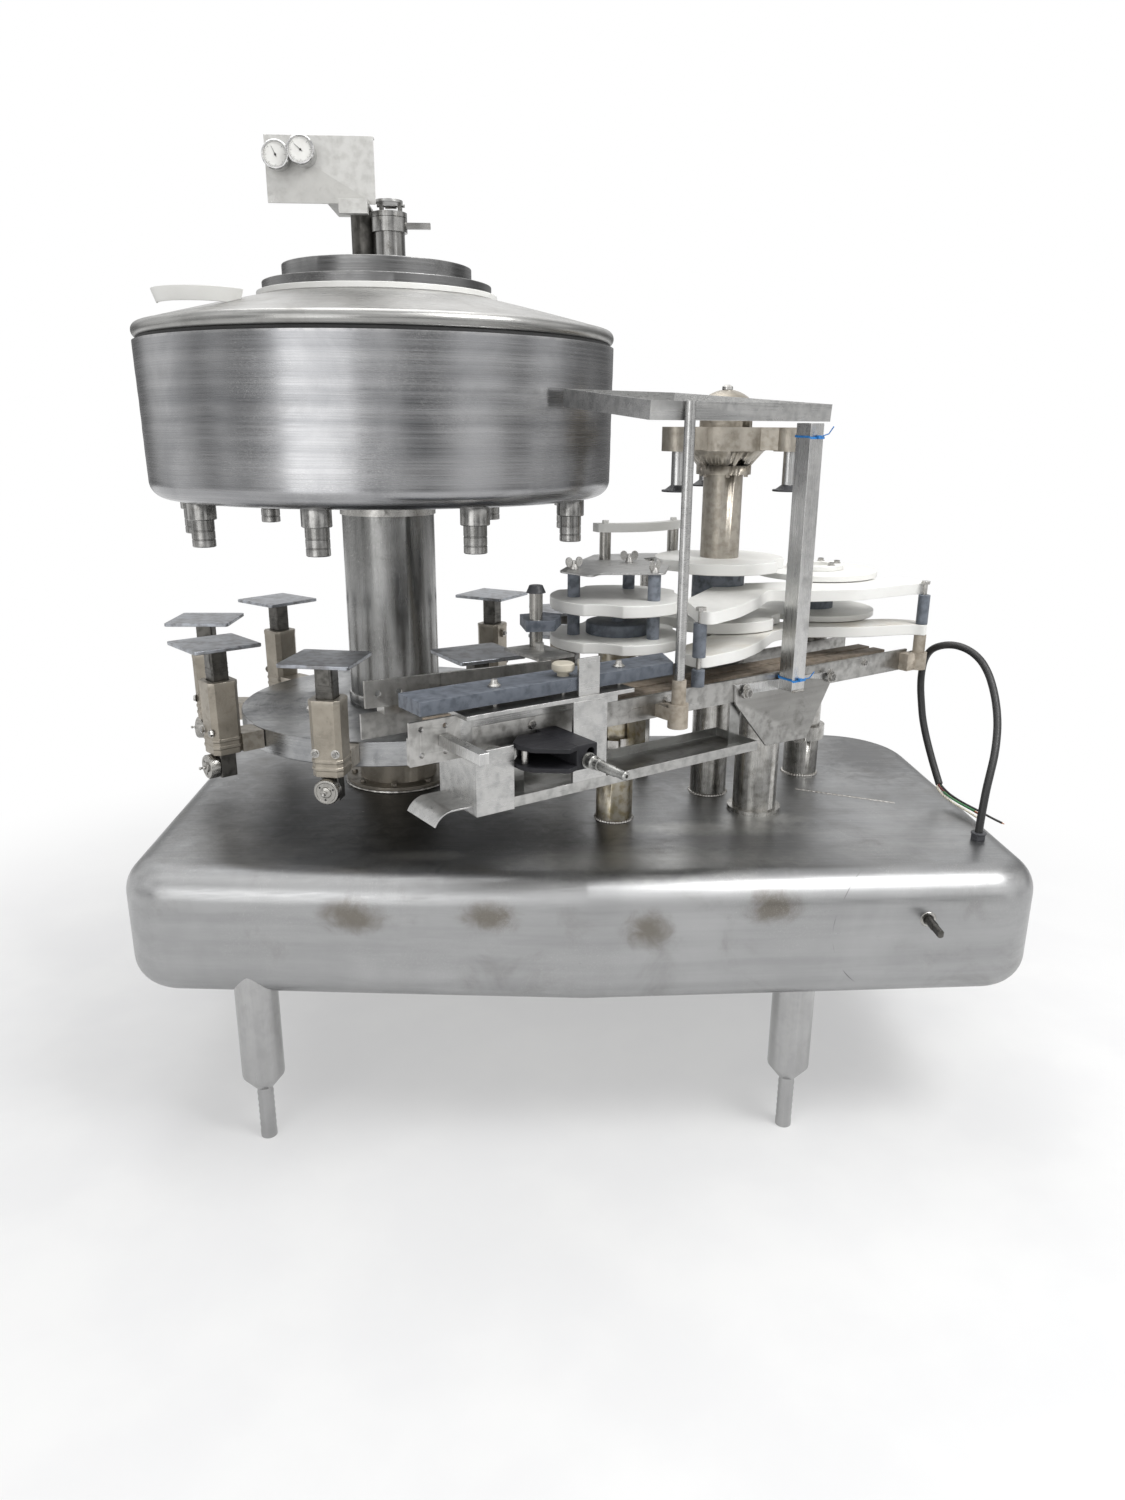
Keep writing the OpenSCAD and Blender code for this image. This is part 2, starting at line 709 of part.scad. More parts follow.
finger_s = s_of(finger_post);
finger_n = n_of(finger_post);
finger_low = 1098;
finger_t = 22;
finger_up = 55;
finger_tip = 15;
finger_plate = [[0, -300], [58, -292], [74, -215], [40, -191], [-13, -215]];
module finger_guide() {
    color([0.85, 0.85, 0.82]) {
        at(finger_post, arm_z + rail_t) cylinder(r = spacer_r, h = finger_low - arm_z - rail_t);
        translate([0, 0, finger_low]) linear_extrude(finger_t) polygon(finger_plate);
        at(finger_post, finger_low + finger_t) cylinder(r = spacer_r, h = finger_up);
        at(finger_post, finger_low + finger_t + finger_up)
            cylinder(r1 = knob_r, r2 = spacer_r, h = finger_tip);
    }
}

// Black plastic fork on the front rail, with its adjuster screw
fork_z = rail_low - 22;
fork_h = 45;
fork_s = [-372, -248];
fork_block_l = 44;
fork_n = [front_n, 612];
screw_r = 7;
screw_l = 104;
screw_in = 16;
fork_wall = [24, 22];
fork_hole = [84, 11];
module fork_bracket() {
    color([0.12, 0.12, 0.12]) on_conveyor() {
        difference() {
            slab(fork_s[0], fork_s[1], fork_n[0], fork_n[1], fork_z, fork_z + fork_h);
            slab(fork_s[0] - over, fork_s[1] - fork_block_l,
                 fork_n[0] + fork_wall[0], fork_n[1] - fork_wall[1], fork_z - over, fork_z + fork_h + over);
            translate([fork_s[1] - fork_block_l / 2, -fork_n[0] - fork_hole[0], fork_z - over])
                cylinder(r = fork_hole[1], h = fork_h + 2 * over);
        }
        translate([fork_s[1] - screw_in, -fork_n[1], fork_z + fork_h / 4]) rotate([90, 0, 0])
            cylinder(r = screw_r, h = screw_l);
        translate([fork_s[1] - screw_in, -fork_n[1], fork_z + fork_h / 4]) rotate([90, 0, 0])
            bolt(2 * screw_r - over / 2, screw_r);
    }
}

// Plastic guide plates, placed from the transfer star in shares of their length
guide_low_shares = [
    [0.166, -0.166], [0.2, -0.27], [0.24, -0.3], [0.37, -0.2], [0.465, -0.07], [0.515, 0.03],
    [0.565, 0.135], [0.67, 0.19], [0.885, 0.19], [1.09, 0.245], [1.14, 0.21], [1.16, 0.315],
    [1.045, 0.36], [0.77, 0.315], [0.555, 0.285], [0.37, 0.13], [0.26, -0.055]
];
guide_high_shares = [
    [0.205, -0.105], [0.215, -0.31], [0.25, -0.345], [0.36, -0.22], [0.46, -0.045], [0.525, 0.105],
    [0.565, 0.105], [0.63, 0.085], [0.85, 0.115], [1.075, 0.245], [1.16, 0.27], [1.09, 0.425],
    [0.975, 0.37], [0.495, 0.27], [0.39, 0.27]
];
lobe_share = [0.265, -0.24];
lobe_r_share = 0.1;
guide_scale = guide_l;
function placed(shares) = [for (k = shares) star_at + k * guide_scale];
hub_small_r = 50;
hub_large_r = 60;
module guide_plate_lower() {
    color([0.88, 0.86, 0.78]) difference() {
        translate([0, 0, guide_low]) linear_extrude(plate_t) polygon(placed(guide_low_shares));
        at(star_at, guide_low - over) cylinder(r = star_r + plate_gap, h = plate_t + 2 * over);
        at(capper_at, guide_low - over) cylinder(r = shaft_r + 2 * over, h = plate_t + 2 * over);
        spacer_holes(guide_low);
    }
}
module guide_plate_upper() {
    color([0.92, 0.92, 0.9]) difference() {
        translate([0, 0, guide_high]) linear_extrude(plate_t) union() {
            polygon(placed(guide_high_shares));
            translate(star_at + lobe_share * guide_scale) circle(r = lobe_r_share * guide_scale);
        }
        at(star_at, guide_high - over) cylinder(r = star_r + plate_gap, h = plate_t + 2 * over);
        at(capper_at, guide_high - over) cylinder(r = hub_large_r + plate_gap, h = plate_t + 2 * over);
        at(discharge_at, guide_high - over) cylinder(r = hub_small_r + plate_gap, h = plate_t + 2 * over);
        spacer_holes(guide_high);
    }
}
spacer_a = [345, -343];
spacer_b = [932, 15];
spacer_c = [640, 20];
spacer_places = [spacer_a, spacer_b, spacer_c];
stud_r = 5;
module spacer_holes(z) {
    for (p = spacer_places) at(p, z - over) cylinder(r = stud_r, h = plate_t + 2 * over);
}
module guide_spacers() {
    color([0.45, 0.5, 0.55]) {
        for (p = spacer_places)
            at(p, guide_low + plate_t) ring(spacer_r, stud_r, guide_high - guide_low - plate_t);
        at(spacer_a, rail_top) ring(spacer_r, stud_r, guide_low - rail_top);
        at(spacer_c, rail_top) ring(spacer_r, stud_r, guide_low - rail_top);
    }
}
module guide_bolts() {
    color([0.7, 0.7, 0.7]) for (p = spacer_places) {
        at(p, guide_high + plate_t) bolt(spacer_r * 0.8, bolt_h);
        at(p, guide_low) cylinder(r = stud_r, h = guide_high + plate_t - guide_low);
    }
}

// Fixed guides and plate behind the transfer star
rear_bar_z = rear_plate_z + 67;
rear_bar_t = 20;
rear_bar_w = 24;
rear_posts = [[190, 112], [363, 200]];
rear_arc_r = 190;
rear_bar_end = 20;
rear_plate_t = 4;
rear_plate_points = [[120, 60], [285, 60], [285, 130], [345, 175], [385, 175], [385, 225],
                     [300, 235], [170, 200]];
rear_span = rear_posts[1] - rear_posts[0];
rear_half = norm(rear_span) / 2;
module rear_guide() {
    reach = rear_half + rear_bar_end;
    color([0.9, 0.9, 0.88]) {
        at((rear_posts[0] + rear_posts[1]) / 2, rear_bar_z) rotate([0, 0, atan2(rear_span[1], rear_span[0])])
            linear_extrude(rear_bar_t) difference() {
                intersection() {
                    rear_arc() circle(r = rear_arc_r + rear_bar_w / 2, $fn = 96);
                    translate([-reach, -reach]) square([2 * reach, 2 * reach]);
                }
                rear_arc() circle(r = rear_arc_r - rear_bar_w / 2, $fn = 96);
                translate([-2 * reach, rear_bar_w]) square([4 * reach, 4 * reach]);
            }
        for (p = rear_posts) at(p, rear_plate_z + rear_plate_t)
            cylinder(r = spacer_r, h = rear_bar_z - rear_plate_z - rear_plate_t);
        for (p = rear_posts) at(p, rear_bar_z + rear_bar_t) bolt(bolt_r, bolt_h);
    }
}
module rear_arc() {
    translate([0, sqrt(rear_arc_r * rear_arc_r - rear_half * rear_half)]) children();
}
module rear_plate() {
    color([0.6, 0.6, 0.6]) at([0, 0], rear_plate_z) linear_extrude(rear_plate_t)
        polygon(rear_plate_points);
}

// Mast, cap tray and their brackets
triangle_points = [[203, 985], [513, 975], [431, 832], [305, 836], [206, 944]];
mast_s = 350;
module mast_bracket() {
    color([0.6, 0.6, 0.6]) on_conveyor() {
        translate([0, -front_n, 0]) rotate([90, 0, 0]) linear_extrude(rail_t) polygon(triangle_points);
        slab(mast_s - mast_w / 2, mast_s + mast_w / 2, front_n + rail_t, front_n + rail_t + mast_w,
             rail_low + 13, mast_top - sheet);
        for (s = [230, 490]) translate([s, -front_n - rail_t, rail_top - 34]) rotate([90, 0, 0])
            bolt(bolt_r, bolt_h);
    }
}
tray_front_n = front_n + 35;
tray_corners = [[-75, -tray_front_n], [395, -tray_front_n], [211, -244], [-54, -218]];
tray_tilt = 5;
tray_wall_h = 33;
rod_s = 11;
rod_n = tray_front_n + rod_r + pass_gap / 3;
rod_low = rail_top + 35;
tab_l = 48;
module tray_walls(inset) {
    offset(delta = -inset) polygon([for (p = tray_corners) p + [0, tray_front_n]]);
}
module cap_tray() {
    color([0.65, 0.65, 0.66]) on_conveyor() {
        translate([0, -tray_front_n, mast_top]) rotate([tray_tilt, 0, 0]) difference() {
            linear_extrude(tray_wall_h) tray_walls(0);
            translate([0, 0, sheet]) linear_extrude(tray_wall_h) tray_walls(sheet);
        }
        translate([rod_s, -rod_n, rod_low]) cylinder(r = rod_r, h = mast_top + tray_wall_h - rod_low);
    }
}
socket_r = 14;
clamp_z = rail_low + 1;
clamp_h = 40;
module rail_clamps() {
    color([0.55, 0.52, 0.47]) {
        at(spacer_b, clamp_z) cylinder(r = knob_r, h = clamp_h);
        at(spacer_b, clamp_z + clamp_h) cylinder(r = socket_r, h = guide_low - clamp_z - clamp_h);
        on_conveyor() {
            slab(conveyor_out - 26, s_of(spacer_b), front_n, front_n + 24, clamp_z, clamp_z + clamp_h);
            slab(rod_s - 20, rod_s + socket_r, front_n, rod_n, rail_low + 3, rail_low + 28);
            translate([rod_s, -rod_n, rail_low - 12]) cylinder(r = socket_r + rail_t, h = rail_h);
            translate([rod_s, -rod_n, rail_low - 12 + rail_h])
                cylinder(r = socket_r, h = rod_low - rail_low + 12 - rail_h);
        }
    }
}

// Turntable
module turntable_disc() {
    color([0.72, 0.72, 0.72]) on_table() translate([0, 0, disc_top - disc_t])
        ring(disc_r, spindle_r, disc_t);
}
collar_z = bowl_bottom - 45;
module column() {
    color([0.66, 0.66, 0.66]) on_table() difference() {
        union() {
            translate([0, 0, spindle_low]) cylinder(r = spindle_r, h = disc_top - spindle_low);
            translate([0, 0, disc_top]) cylinder(r = column_r, h = bowl_bottom - disc_top);
            translate([0, 0, collar_z]) cylinder(r = column_r + 4, h = 22);
            translate([0, -column_r - 2, collar_z + 11]) rotate([90, 0, 0]) bolt(bolt_r, bolt_h);
        }
        translate([0, 0, spindle_low - over])
            cylinder(r = standpipe_r + fit, h = bowl_bottom - spindle_low + 2 * over);
    }
}
module bowl() {
    low_r = bowl_r - bowl_taper;
    h = bowl_rim - bowl_bottom;
    in = bowl_foot_r - bowl_wall;
    color([0.66, 0.66, 0.66]) difference() {
        on_table() translate([0, 0, bowl_bottom]) {
            rotate_extrude($fn = 180) difference() {
                union() {
                    square([low_r - bowl_foot_r, h]);
                    translate([low_r - bowl_foot_r, bowl_foot_r]) circle(r = bowl_foot_r, $fn = 64);
                    polygon([[0, bowl_foot_r], [low_r, bowl_foot_r], [bowl_r, h], [0, h]]);
                }
                translate([standpipe_r + over, bowl_wall])
                    square([low_r - bowl_foot_r - standpipe_r - over, h]);
                translate([low_r - bowl_foot_r, bowl_foot_r]) circle(r = in, $fn = 64);
                polygon([[standpipe_r + over, bowl_foot_r], [low_r - bowl_wall, bowl_foot_r],
                         [bowl_r - bowl_wall, h + over], [standpipe_r + over, h + over]]);
                translate([-over, -over]) square([standpipe_r + 2 * over, h + 2 * over]);
            }
            ring(bowl_tube_r, standpipe_r + over, bowl_tube_top - bowl_bottom);
        }
        stations() translate([0, 0, bowl_bottom - over])
            cylinder(r = nozzle_bore_r, h = bowl_wall + 2 * over);
    }
}
module bowl_lid() {
    edge_r = lid_edge_h / 2;
    color([0.6, 0.6, 0.6]) on_table() translate([0, 0, rim_z]) rotate_extrude($fn = 180) union() {
        translate([bowl_r - edge_r, edge_r]) circle(r = edge_r, $fn = 32);
        polygon([[bowl_r - edge_r, lid_edge_h], [bowl_r - edge_r, lid_edge_h - sheet],
                 [seal_r, lid_top - rim_z - sheet], [seal_r, lid_top - rim_z]]);
        translate([lid_hole_r, lid_top - rim_z - edge_r]) square([sheet, edge_r]);
        translate([lid_hole_r, lid_top - rim_z - sheet]) square([seal_r - lid_hole_r, sheet]);
        translate([bowl_r - 2 * bowl_wall, -lid_gap]) square([bowl_wall, lid_gap + sheet]);
    }
}
module filling_nozzles() {
    color([0.68, 0.68, 0.68]) stations() {
        translate([0, 0, bowl_bottom - bush_h]) ring(nozzle_bush_r, nozzle_bore_r, bush_h);
        translate([0, 0, nozzle_tip]) ring(nozzle_r, nozzle_bore_r, bowl_bottom - bush_h - nozzle_tip);
    }
}
inlet_off = [34, -35];
post_off = [-25, 25];
post_h = 115;
module top_cover() {
    color([0.35, 0.35, 0.35]) on_table() difference() {
        union() {
            translate([0, 0, lid_top + pass_gap]) ring(seal_r, lid_hole_r - 20, seal_t);
            translate([0, 0, cover_z]) cylinder(r = cover_r, h = cover_step_h);
            translate([0, 0, cover_z + cover_step_h]) cylinder(r = cover_top_r, h = cover_top_h);
        }
        at(inlet_off, cover_z - over)
            cylinder(r = inlet_r, h = cover_step_h + cover_top_h + 2 * over);
    }
}
module centre_standpipe() {
    color([0.6, 0.6, 0.6]) on_table() {
        translate([0, 0, base_bottom]) cylinder(r = 80, h = 12);
        translate([0, 0, base_bottom]) cylinder(r = standpipe_r, h = standpipe_neck_z - base_bottom);
        translate([0, 0, standpipe_neck_z]) cylinder(r = standpipe_neck_r, h = cover_z - standpipe_neck_z);
        at(post_off, cover_top) cylinder(r = inlet_r, h = post_h);
    }
}
inlet_low = cover_z - 40;
neck_r = 38;
neck_h = 20;
band_z = cover_top + 66;
band_h = 28;
pin_r = 4;
ear_share = 1.5;
flap_share = 0.8;
flap_t = 5;
flap_drop = 3;
flap_knuckle = 3;
tongue = [20, 20, 6];
pin_l = 60;
knuckle_l = 24;
pin_off = 8;
ear_x = 20;
ear_out = 16;
band_lip = 6;
handle = [52, 12, 12];
handle_gap = 4;
pin_up = 22;
pin_z = cover_top + inlet_h + pin_up;
ear_w = 8;
module inlet_tube() {
    top = cover_top + inlet_h;
    color([0.65, 0.65, 0.65]) on_table() at(inlet_off, 0) {
        difference() {
            union() {
                translate([0, 0, inlet_low]) cylinder(r = inlet_r, h = top - inlet_low);
                translate([0, 0, band_z]) cylinder(r = inlet_r + band_lip, h = band_h);
                translate([0, 0, top - neck_h / 2]) cylinder(r = neck_r, h = neck_h / 2);
                for (x = [-1, 1]) translate([x * ear_x - ear_w / 2, inlet_r - over, top - neck_h])
                    cube([ear_w, ear_out + over, pin_z - top + neck_h + ear_share * pin_r]);
            }
            translate([0, 0, inlet_low - over])
                cylinder(r = inlet_r - inlet_wall, h = top - inlet_low + 2 * over);
            translate([-2 * inlet_r, inlet_r + pin_off, pin_z]) rotate([0, 90, 0])
                cylinder(r = pin_r + fit, h = 4 * inlet_r);
        }
        translate([inlet_r + handle_gap, -pin_off, band_z + band_h / 2 - handle[2] / 2]) cube(handle);
    }
}
module inlet_flap() {
    color([0.6, 0.6, 0.6]) on_table() at(inlet_off, 0) {
        translate([-pin_l / 2, inlet_r + pin_off, pin_z]) rotate([0, 90, 0]) cylinder(r = pin_r, h = pin_l);
        translate([-knuckle_l / 2, inlet_r + pin_off, pin_z]) rotate([0, 90, 0])
            cylinder(r = pin_r + flap_knuckle, h = knuckle_l);
        translate([-tongue[0] / 2, inlet_r + pin_off - tongue[1], pin_z - flap_drop]) cube(tongue);
        translate([0, 0, pin_z - flap_drop]) cylinder(r = inlet_r - flap_share * inlet_wall, h = flap_t);
    }
}
panel_x = -538;
panel_y = 90;
panel_z = cover_top + post_h;
panel_t = 3;
panel_fold = 20;
shelf_in = 102;
shelf_w = 84;
shelf_back = 45;
shelf_t = 6;
step_in = 75;
step_out = 26;
step_block = [60, 20, 22];
module gauge_panel() {
    color([0.66, 0.68, 0.69]) {
        translate([panel_x, panel_y - panel_t, panel_z]) cube([panel_w, panel_t, panel_h]);
        translate([panel_x, panel_y, panel_z + panel_h - panel_t]) cube([panel_w, panel_fold, panel_t]);
        translate([panel_x + panel_w - shelf_in, panel_y, panel_z])
            cube([shelf_w, table_back + shelf_back + inlet_r - panel_y, shelf_t]);
        translate([panel_x + panel_w - step_in, panel_y - panel_t - step_out, panel_z - step_block[2]])
            cube(step_block);
        translate([panel_x + panel_w - step_in, panel_y - panel_t - step_out, panel_z])
            cube([step_block[0], step_out, shelf_t]);
    }
}
gauge_places = [[29, 84, 34], [83, 91, 46]];
module gauges() {
    color([0.85, 0.85, 0.85]) for (g = gauge_places)
        translate([panel_x + g[0], panel_y - panel_t, panel_z + g[1]]) rotate([90, 0, 0]) {
            cylinder(r = gauge_r - over / 2, h = g[2] - 8);
            translate([0, 0, g[2] - 8]) cylinder(r = gauge_r, h = 8);
        }
}

// Pedestals and jug platforms
foot_lug_h = 46;
chamfer_share = 0.16;
pedestal_bore = lift_w + 2 * pass_gap;
module pedestal_outline(w) {
    c = w * chamfer_share;
    polygon([[-w / 2 + c, -w / 2], [w / 2 - c, -w / 2], [w / 2, -w / 2 + c], [w / 2, w / 2 - c],
             [w / 2 - c, w / 2], [-w / 2 + c, w / 2], [-w / 2, w / 2 - c], [-w / 2, -w / 2 + c]]);
}
module pedestal_housings() {
    color([0.6, 0.55, 0.48]) difference() {
        stations() difference() {
            union() {
                translate([0, 0, pedestal_bottom])
                    linear_extrude(pedestal_top - pedestal_bottom) pedestal_outline(pedestal_w);
                translate([disc_r - table_pitch_r - over, -pedestal_w / 2, disc_top - foot_lug_h - over])
                    cube([table_pitch_r - disc_r - pedestal_w / 2 + 2 * over, pedestal_w, foot_lug_h]);
                for (y = [-0.33, 0.33]) translate([pedestal_w / 2 - over, y * pedestal_w, pedestal_bottom + 20])
                    rotate([0, 90, 0]) bolt(bolt_r, bolt_h + over);
            }
            translate([-pedestal_bore / 2, -pedestal_bore / 2, pedestal_bottom - over])
                cube([pedestal_bore, pedestal_bore, pedestal_top - pedestal_bottom + 2 * over]);
        }
        on_table() translate([0, 0, disc_top - disc_t - over]) cylinder(r = disc_r, h = disc_t + 2 * over);
    }
}
lift_low = 742;
roller_z = pedestal_bottom - roller_r - plate_gap;
roller_w = 25;
roller_pin_r = 9;
module platform(i) {
    color([0.62, 0.62, 0.62]) on_table()
        rotate([0, 0, first_station_angle + (i - 1) * 360 / station_count])
            translate([table_pitch_r, 0, 0]) {
                translate([-platform_w / 2, -platform_w / 2, platform_top - platform_t])
                    cube([platform_w, platform_w, platform_t]);
                translate([-lift_w / 2, -lift_w / 2, lift_low])
                    cube([lift_w, lift_w, platform_top - platform_t - lift_low]);
                translate([lift_w / 2 + over, 0, roller_z]) rotate([0, 90, 0])
                    cylinder(r = roller_r, h = roller_w);
                translate([lift_w / 2 - over, 0, roller_z]) rotate([0, 90, 0])
                    cylinder(r = roller_pin_r, h = roller_w + 3 * over);
            }
}

// Stars
star_low = platform_top + plate_gap;
star_low_t = plate_t - 3;
pocket_r = 78;
pocket_at = star_pitch_r + 57;
star_top_z = guide_high + plate_t + 55;
star_top_t = 4;
spacer_ring_r = 100;
spacer_turn = 72;
module pocket_plate(phase, t) {
    linear_extrude(t) difference() {
        circle(r = star_r, $fn = 96);
        for (i = [0 : pocket_count - 1])
            rotate(phase + i * 360 / pocket_count) translate([pocket_at, 0]) circle(r = pocket_r);
    }
}
top_plate_shares = [[-0.89, -0.4], [-0.45, -0.86], [-0.32, -0.61], [0.58, -0.62],
                    [0.77, 0.25], [0.48, 0.84], [-0.56, 0.8]];
module transfer_star() {
    color([0.9, 0.9, 0.88]) at(star_at, 0) {
        translate([0, 0, star_low]) pocket_plate(star_phase, star_low_t);
        translate([0, 0, star_low + star_low_t]) cylinder(r = 70, h = plate_t);
        translate([0, 0, star_low + star_low_t + plate_t]) cylinder(r = spacer_r, h = 15);
        translate([0, 0, guide_high]) difference() {
            pocket_plate(star_phase, plate_t);
            translate([0, 0, -over]) cylinder(r = 40, h = plate_t + 2 * over);
        }
        for (i = [0 : 2]) rotate([0, 0, spacer_turn + 120 * i]) translate([spacer_ring_r, 0, 0]) {
            translate([0, 0, star_low + star_low_t])
                cylinder(r = spacer_r, h = guide_high - star_low - star_low_t);
            translate([0, 0, guide_high + plate_t])
                cylinder(r = spacer_r, h = star_top_z - guide_high - plate_t);
            translate([0, 0, star_top_z + star_top_t]) bolt(bolt_r, bolt_h);
        }
        translate([0, 0, star_top_z]) linear_extrude(star_top_t)
            polygon([for (k = top_plate_shares) k * star_r]);
    }
}
module star_shaft(p, top) {
    low = base_bottom + base_wall + plate_gap;
    at(p, low) cylinder(r = shaft_r, h = top - low);
}
module transfer_drive() {
    color([0.5, 0.5, 0.5]) {
        star_shaft(star_at, star_low);
        at(star_at, gear_low) gear(transfer_teeth, transfer_r, transfer_turn);
        at(star_at, gear_high) gear(star_teeth, star_pitch_r, 0);
    }
}
capper_star_low = guide_low + plate_t + plate_gap;
capper_star_top = 1210;
module capper_star() {
    color([0.9, 0.9, 0.88]) at(capper_at, 0) {
        translate([0, 0, capper_star_low]) pocket_plate(head_phase, plate_t);
        translate([0, 0, capper_star_low + plate_t])
            cylinder(r = hub_large_r, h = capper_star_top - capper_star_low - 2 * plate_t);
        translate([0, 0, capper_star_top - plate_t]) pocket_plate(head_phase, plate_t);
    }
}
module capper_drive() {
    color([0.5, 0.5, 0.5]) {
        star_shaft(capper_at, capper_star_low);
        at(capper_at, gear_high) gear(star_teeth, star_pitch_r, capper_turn);
    }
}
lug_r = star_pitch_r - 6;
lug_w = 36;
cone_r = 90;
dome_r = 58;
dome_top = lug_top + 76;
flange_t = 20;
dome_drop_share = 0.75;
dome_ball_share = 1.3;
web_share = 0.8;
module capper_head() {
    color([0.55, 0.52, 0.46]) at(capper_at, 0) {
        translate([0, 0, capper_star_top]) cylinder(r = capper_r, h = capper_low - capper_star_top);
        bolts_round(6, (capper_r + capper_flange_r) / 2, end_hole_r, over, capper_low - over, 30);
        translate([0, 0, capper_low]) cylinder(r = capper_flange_r, h = flange_t);
        translate([0, 0, capper_low + flange_t])
            cylinder(r1 = capper_flange_r, r2 = cone_r - plate_gap, h = lug_low - capper_low - flange_t);
        difference() {
            union() {
                translate([0, 0, lug_low]) cylinder(r = cone_r, h = lug_top - lug_low);
                for (i = [0 : 2]) rotate([0, 0, head_phase + 120 * i]) {
                    translate([cone_r / 2, -lug_w * web_share, lug_low + plate_gap])
                        cube([lug_r - cone_r / 2, 2 * lug_w * web_share, lug_top - lug_low - plate_gap]);
                    translate([lug_r, 0, lug_low]) cylinder(r = lug_w, h = lug_top - lug_low);
                }
            }
            for (i = [0 : 2]) rotate([0, 0, head_phase + 120 * i]) translate([lug_r, 0, lug_low - over])
                cylinder(r = plunger_r + fit, h = lug_top - lug_low + 2 * over);
        }
        translate([0, 0, lug_top]) cylinder(r = dome_r, h = dome_top - lug_top - dome_r / 2);
        translate([0, 0, dome_top - dome_r / 2]) rotate_extrude() intersection() {
            translate([0, -dome_r * dome_drop_share]) circle(r = dome_r * dome_ball_share, $fn = 96);
            square([dome_r, dome_r]);
        }
    }
}
module plunger(i) {
    low = lug_low - plunger_l;
    color([0.7, 0.7, 0.7]) at(capper_at, 0) rotate([0, 0, head_phase + 120 * (i - 1)])
        translate([lug_r, 0, 0]) {
            translate([0, 0, low]) cylinder(r = plunger_foot_r, h = 4);
            translate([0, 0, low + 4]) cylinder(r1 = plunger_foot_r - 6, r2 = plunger_r, h = 10, $fn = 64);
            translate([0, 0, low + 14]) cylinder(r = plunger_r, h = lug_top - low - 14 - pass_gap);
        }
}
disc_low_z = guide_low + plate_t + plate_gap;
disc_high_z = guide_high + plate_t + plate_gap;
module discharge_star() {
    color([0.88, 0.88, 0.85]) at(discharge_at, 0) {
        translate([0, 0, disc_low_z]) cylinder(r = star_r, h = thin_disc_t, $fn = 96);
        translate([0, 0, disc_low_z + thin_disc_t])
            cylinder(r = hub_small_r, h = disc_high_z - disc_low_z - thin_disc_t);
        translate([0, 0, disc_high_z]) cylinder(r = star_r, h = thin_disc_t, $fn = 96);
        translate([0, 0, disc_high_z + thin_disc_t]) ring(68, 40, 12);
        bolts_round(6, 54, bolt_r, bolt_h, disc_high_z + thin_disc_t + 12);
    }
}
module discharge_drive() {
    color([0.5, 0.5, 0.5]) {
        star_shaft(discharge_at, disc_low_z);
        at(discharge_at, gear_high) gear(star_teeth, star_pitch_r, discharge_turn);
    }
}
module crank_stub() {
    color([0.45, 0.43, 0.4]) translate([crank_x, crank_face_y, crank_z]) rotate([90, 0, 0])
        translate([0, 0, -crank_boss_l]) difference() {
            union() {
                cylinder(r = crank_shaft_r, h = crank_boss_l + crank_step);
                cylinder(r = crank_r, h = crank_boss_l + crank_l / 2);
                cylinder(r = crank_end_r, h = crank_boss_l + crank_l);
            }
            for (x = [-1, 1]) translate([x * crank_end_r * 1.75 - crank_end_r, -crank_r,
                                         crank_boss_l + crank_l / 2 + crank_step])
                cube([2 * crank_end_r, 2 * crank_r, crank_l]);
        }
}

// Cable: out of the gland, up in a loop, behind the rail's end and down again
cable_route = [
    [986, -299, 644], [987, -298, 680], [991, -293, 715], [998, -283, 749], [1009, -268, 781],
    [1021, -250, 811], [1032, -228, 842], [1041, -203, 874], [1046, -176, 907], [1047, -148, 939],
    [1044, -120, 968], [1035, -92, 992], [1019, -64, 1008], [998, -36, 1014], [978, -8, 1008],
    [964, 18, 992], [959, 38, 965], [959, 48, 930], [961, 49, 894], [964, 42, 858], [967, 31, 822],
    [972, 15, 786], [978, -6, 750], [985, -31, 712], [991, -55, 680]
];
wire_route = [
    [991.06, -55.24, 679.68], [992.5, -61.1, 671.8], [1002, -85, 660], [1018, -120, 651],
    [1036, -165, 646], [1050, -205, 642],
    [1060, -235, 640]
];
cable_sides = 10;
function unit(v) = v / norm(v);
function heading(path, i) = unit(path[min(i + 1, len(path) - 1)] - path[max(i - 1, 0)]);
function side_of(d) = unit(cross(d, abs(d[2]) > 0.9 ? [0, 1, 0] : [0, 0, 1]));
// Each ring starts from the last ring's side direction, so that the tube never twists
function carried(path, i) = i == 0 ? side_of(heading(path, 0))
    : let (d = heading(path, i), last = carried(path, i - 1)) unit(last - d * (last * d));
module tube_along(path, r) {
    n = len(path);
    points = [for (i = [0 : n - 1]) let (d = heading(path, i), u = carried(path, i), v = cross(d, u))
        for (k = [0 : cable_sides - 1])
            path[i] + r * (u * cos(k * 360 / cable_sides) + v * sin(k * 360 / cable_sides))];
    sides = [for (i = [0 : n - 2]) for (k = [0 : cable_sides - 1]) let (
        a = i * cable_sides + k, b = i * cable_sides + (k + 1) % cable_sides)
        for (f = [[a, b, b + cable_sides], [a, b + cable_sides, a + cable_sides]]) f];
    last = (n - 1) * cable_sides;
    ends = [[for (k = [0 : cable_sides - 1]) cable_sides - 1 - k],
            [for (k = [0 : cable_sides - 1]) last + k]];
    polyhedron(points, concat(sides, ends));
}
module power_cable() {
    color([0.08, 0.08, 0.08]) tube_along(cable_route, cable_d / 2);
}
module cable_conductors() {
    color([0.5, 0.25, 0.15]) tube_along(wire_route, cable_d / 4);
}

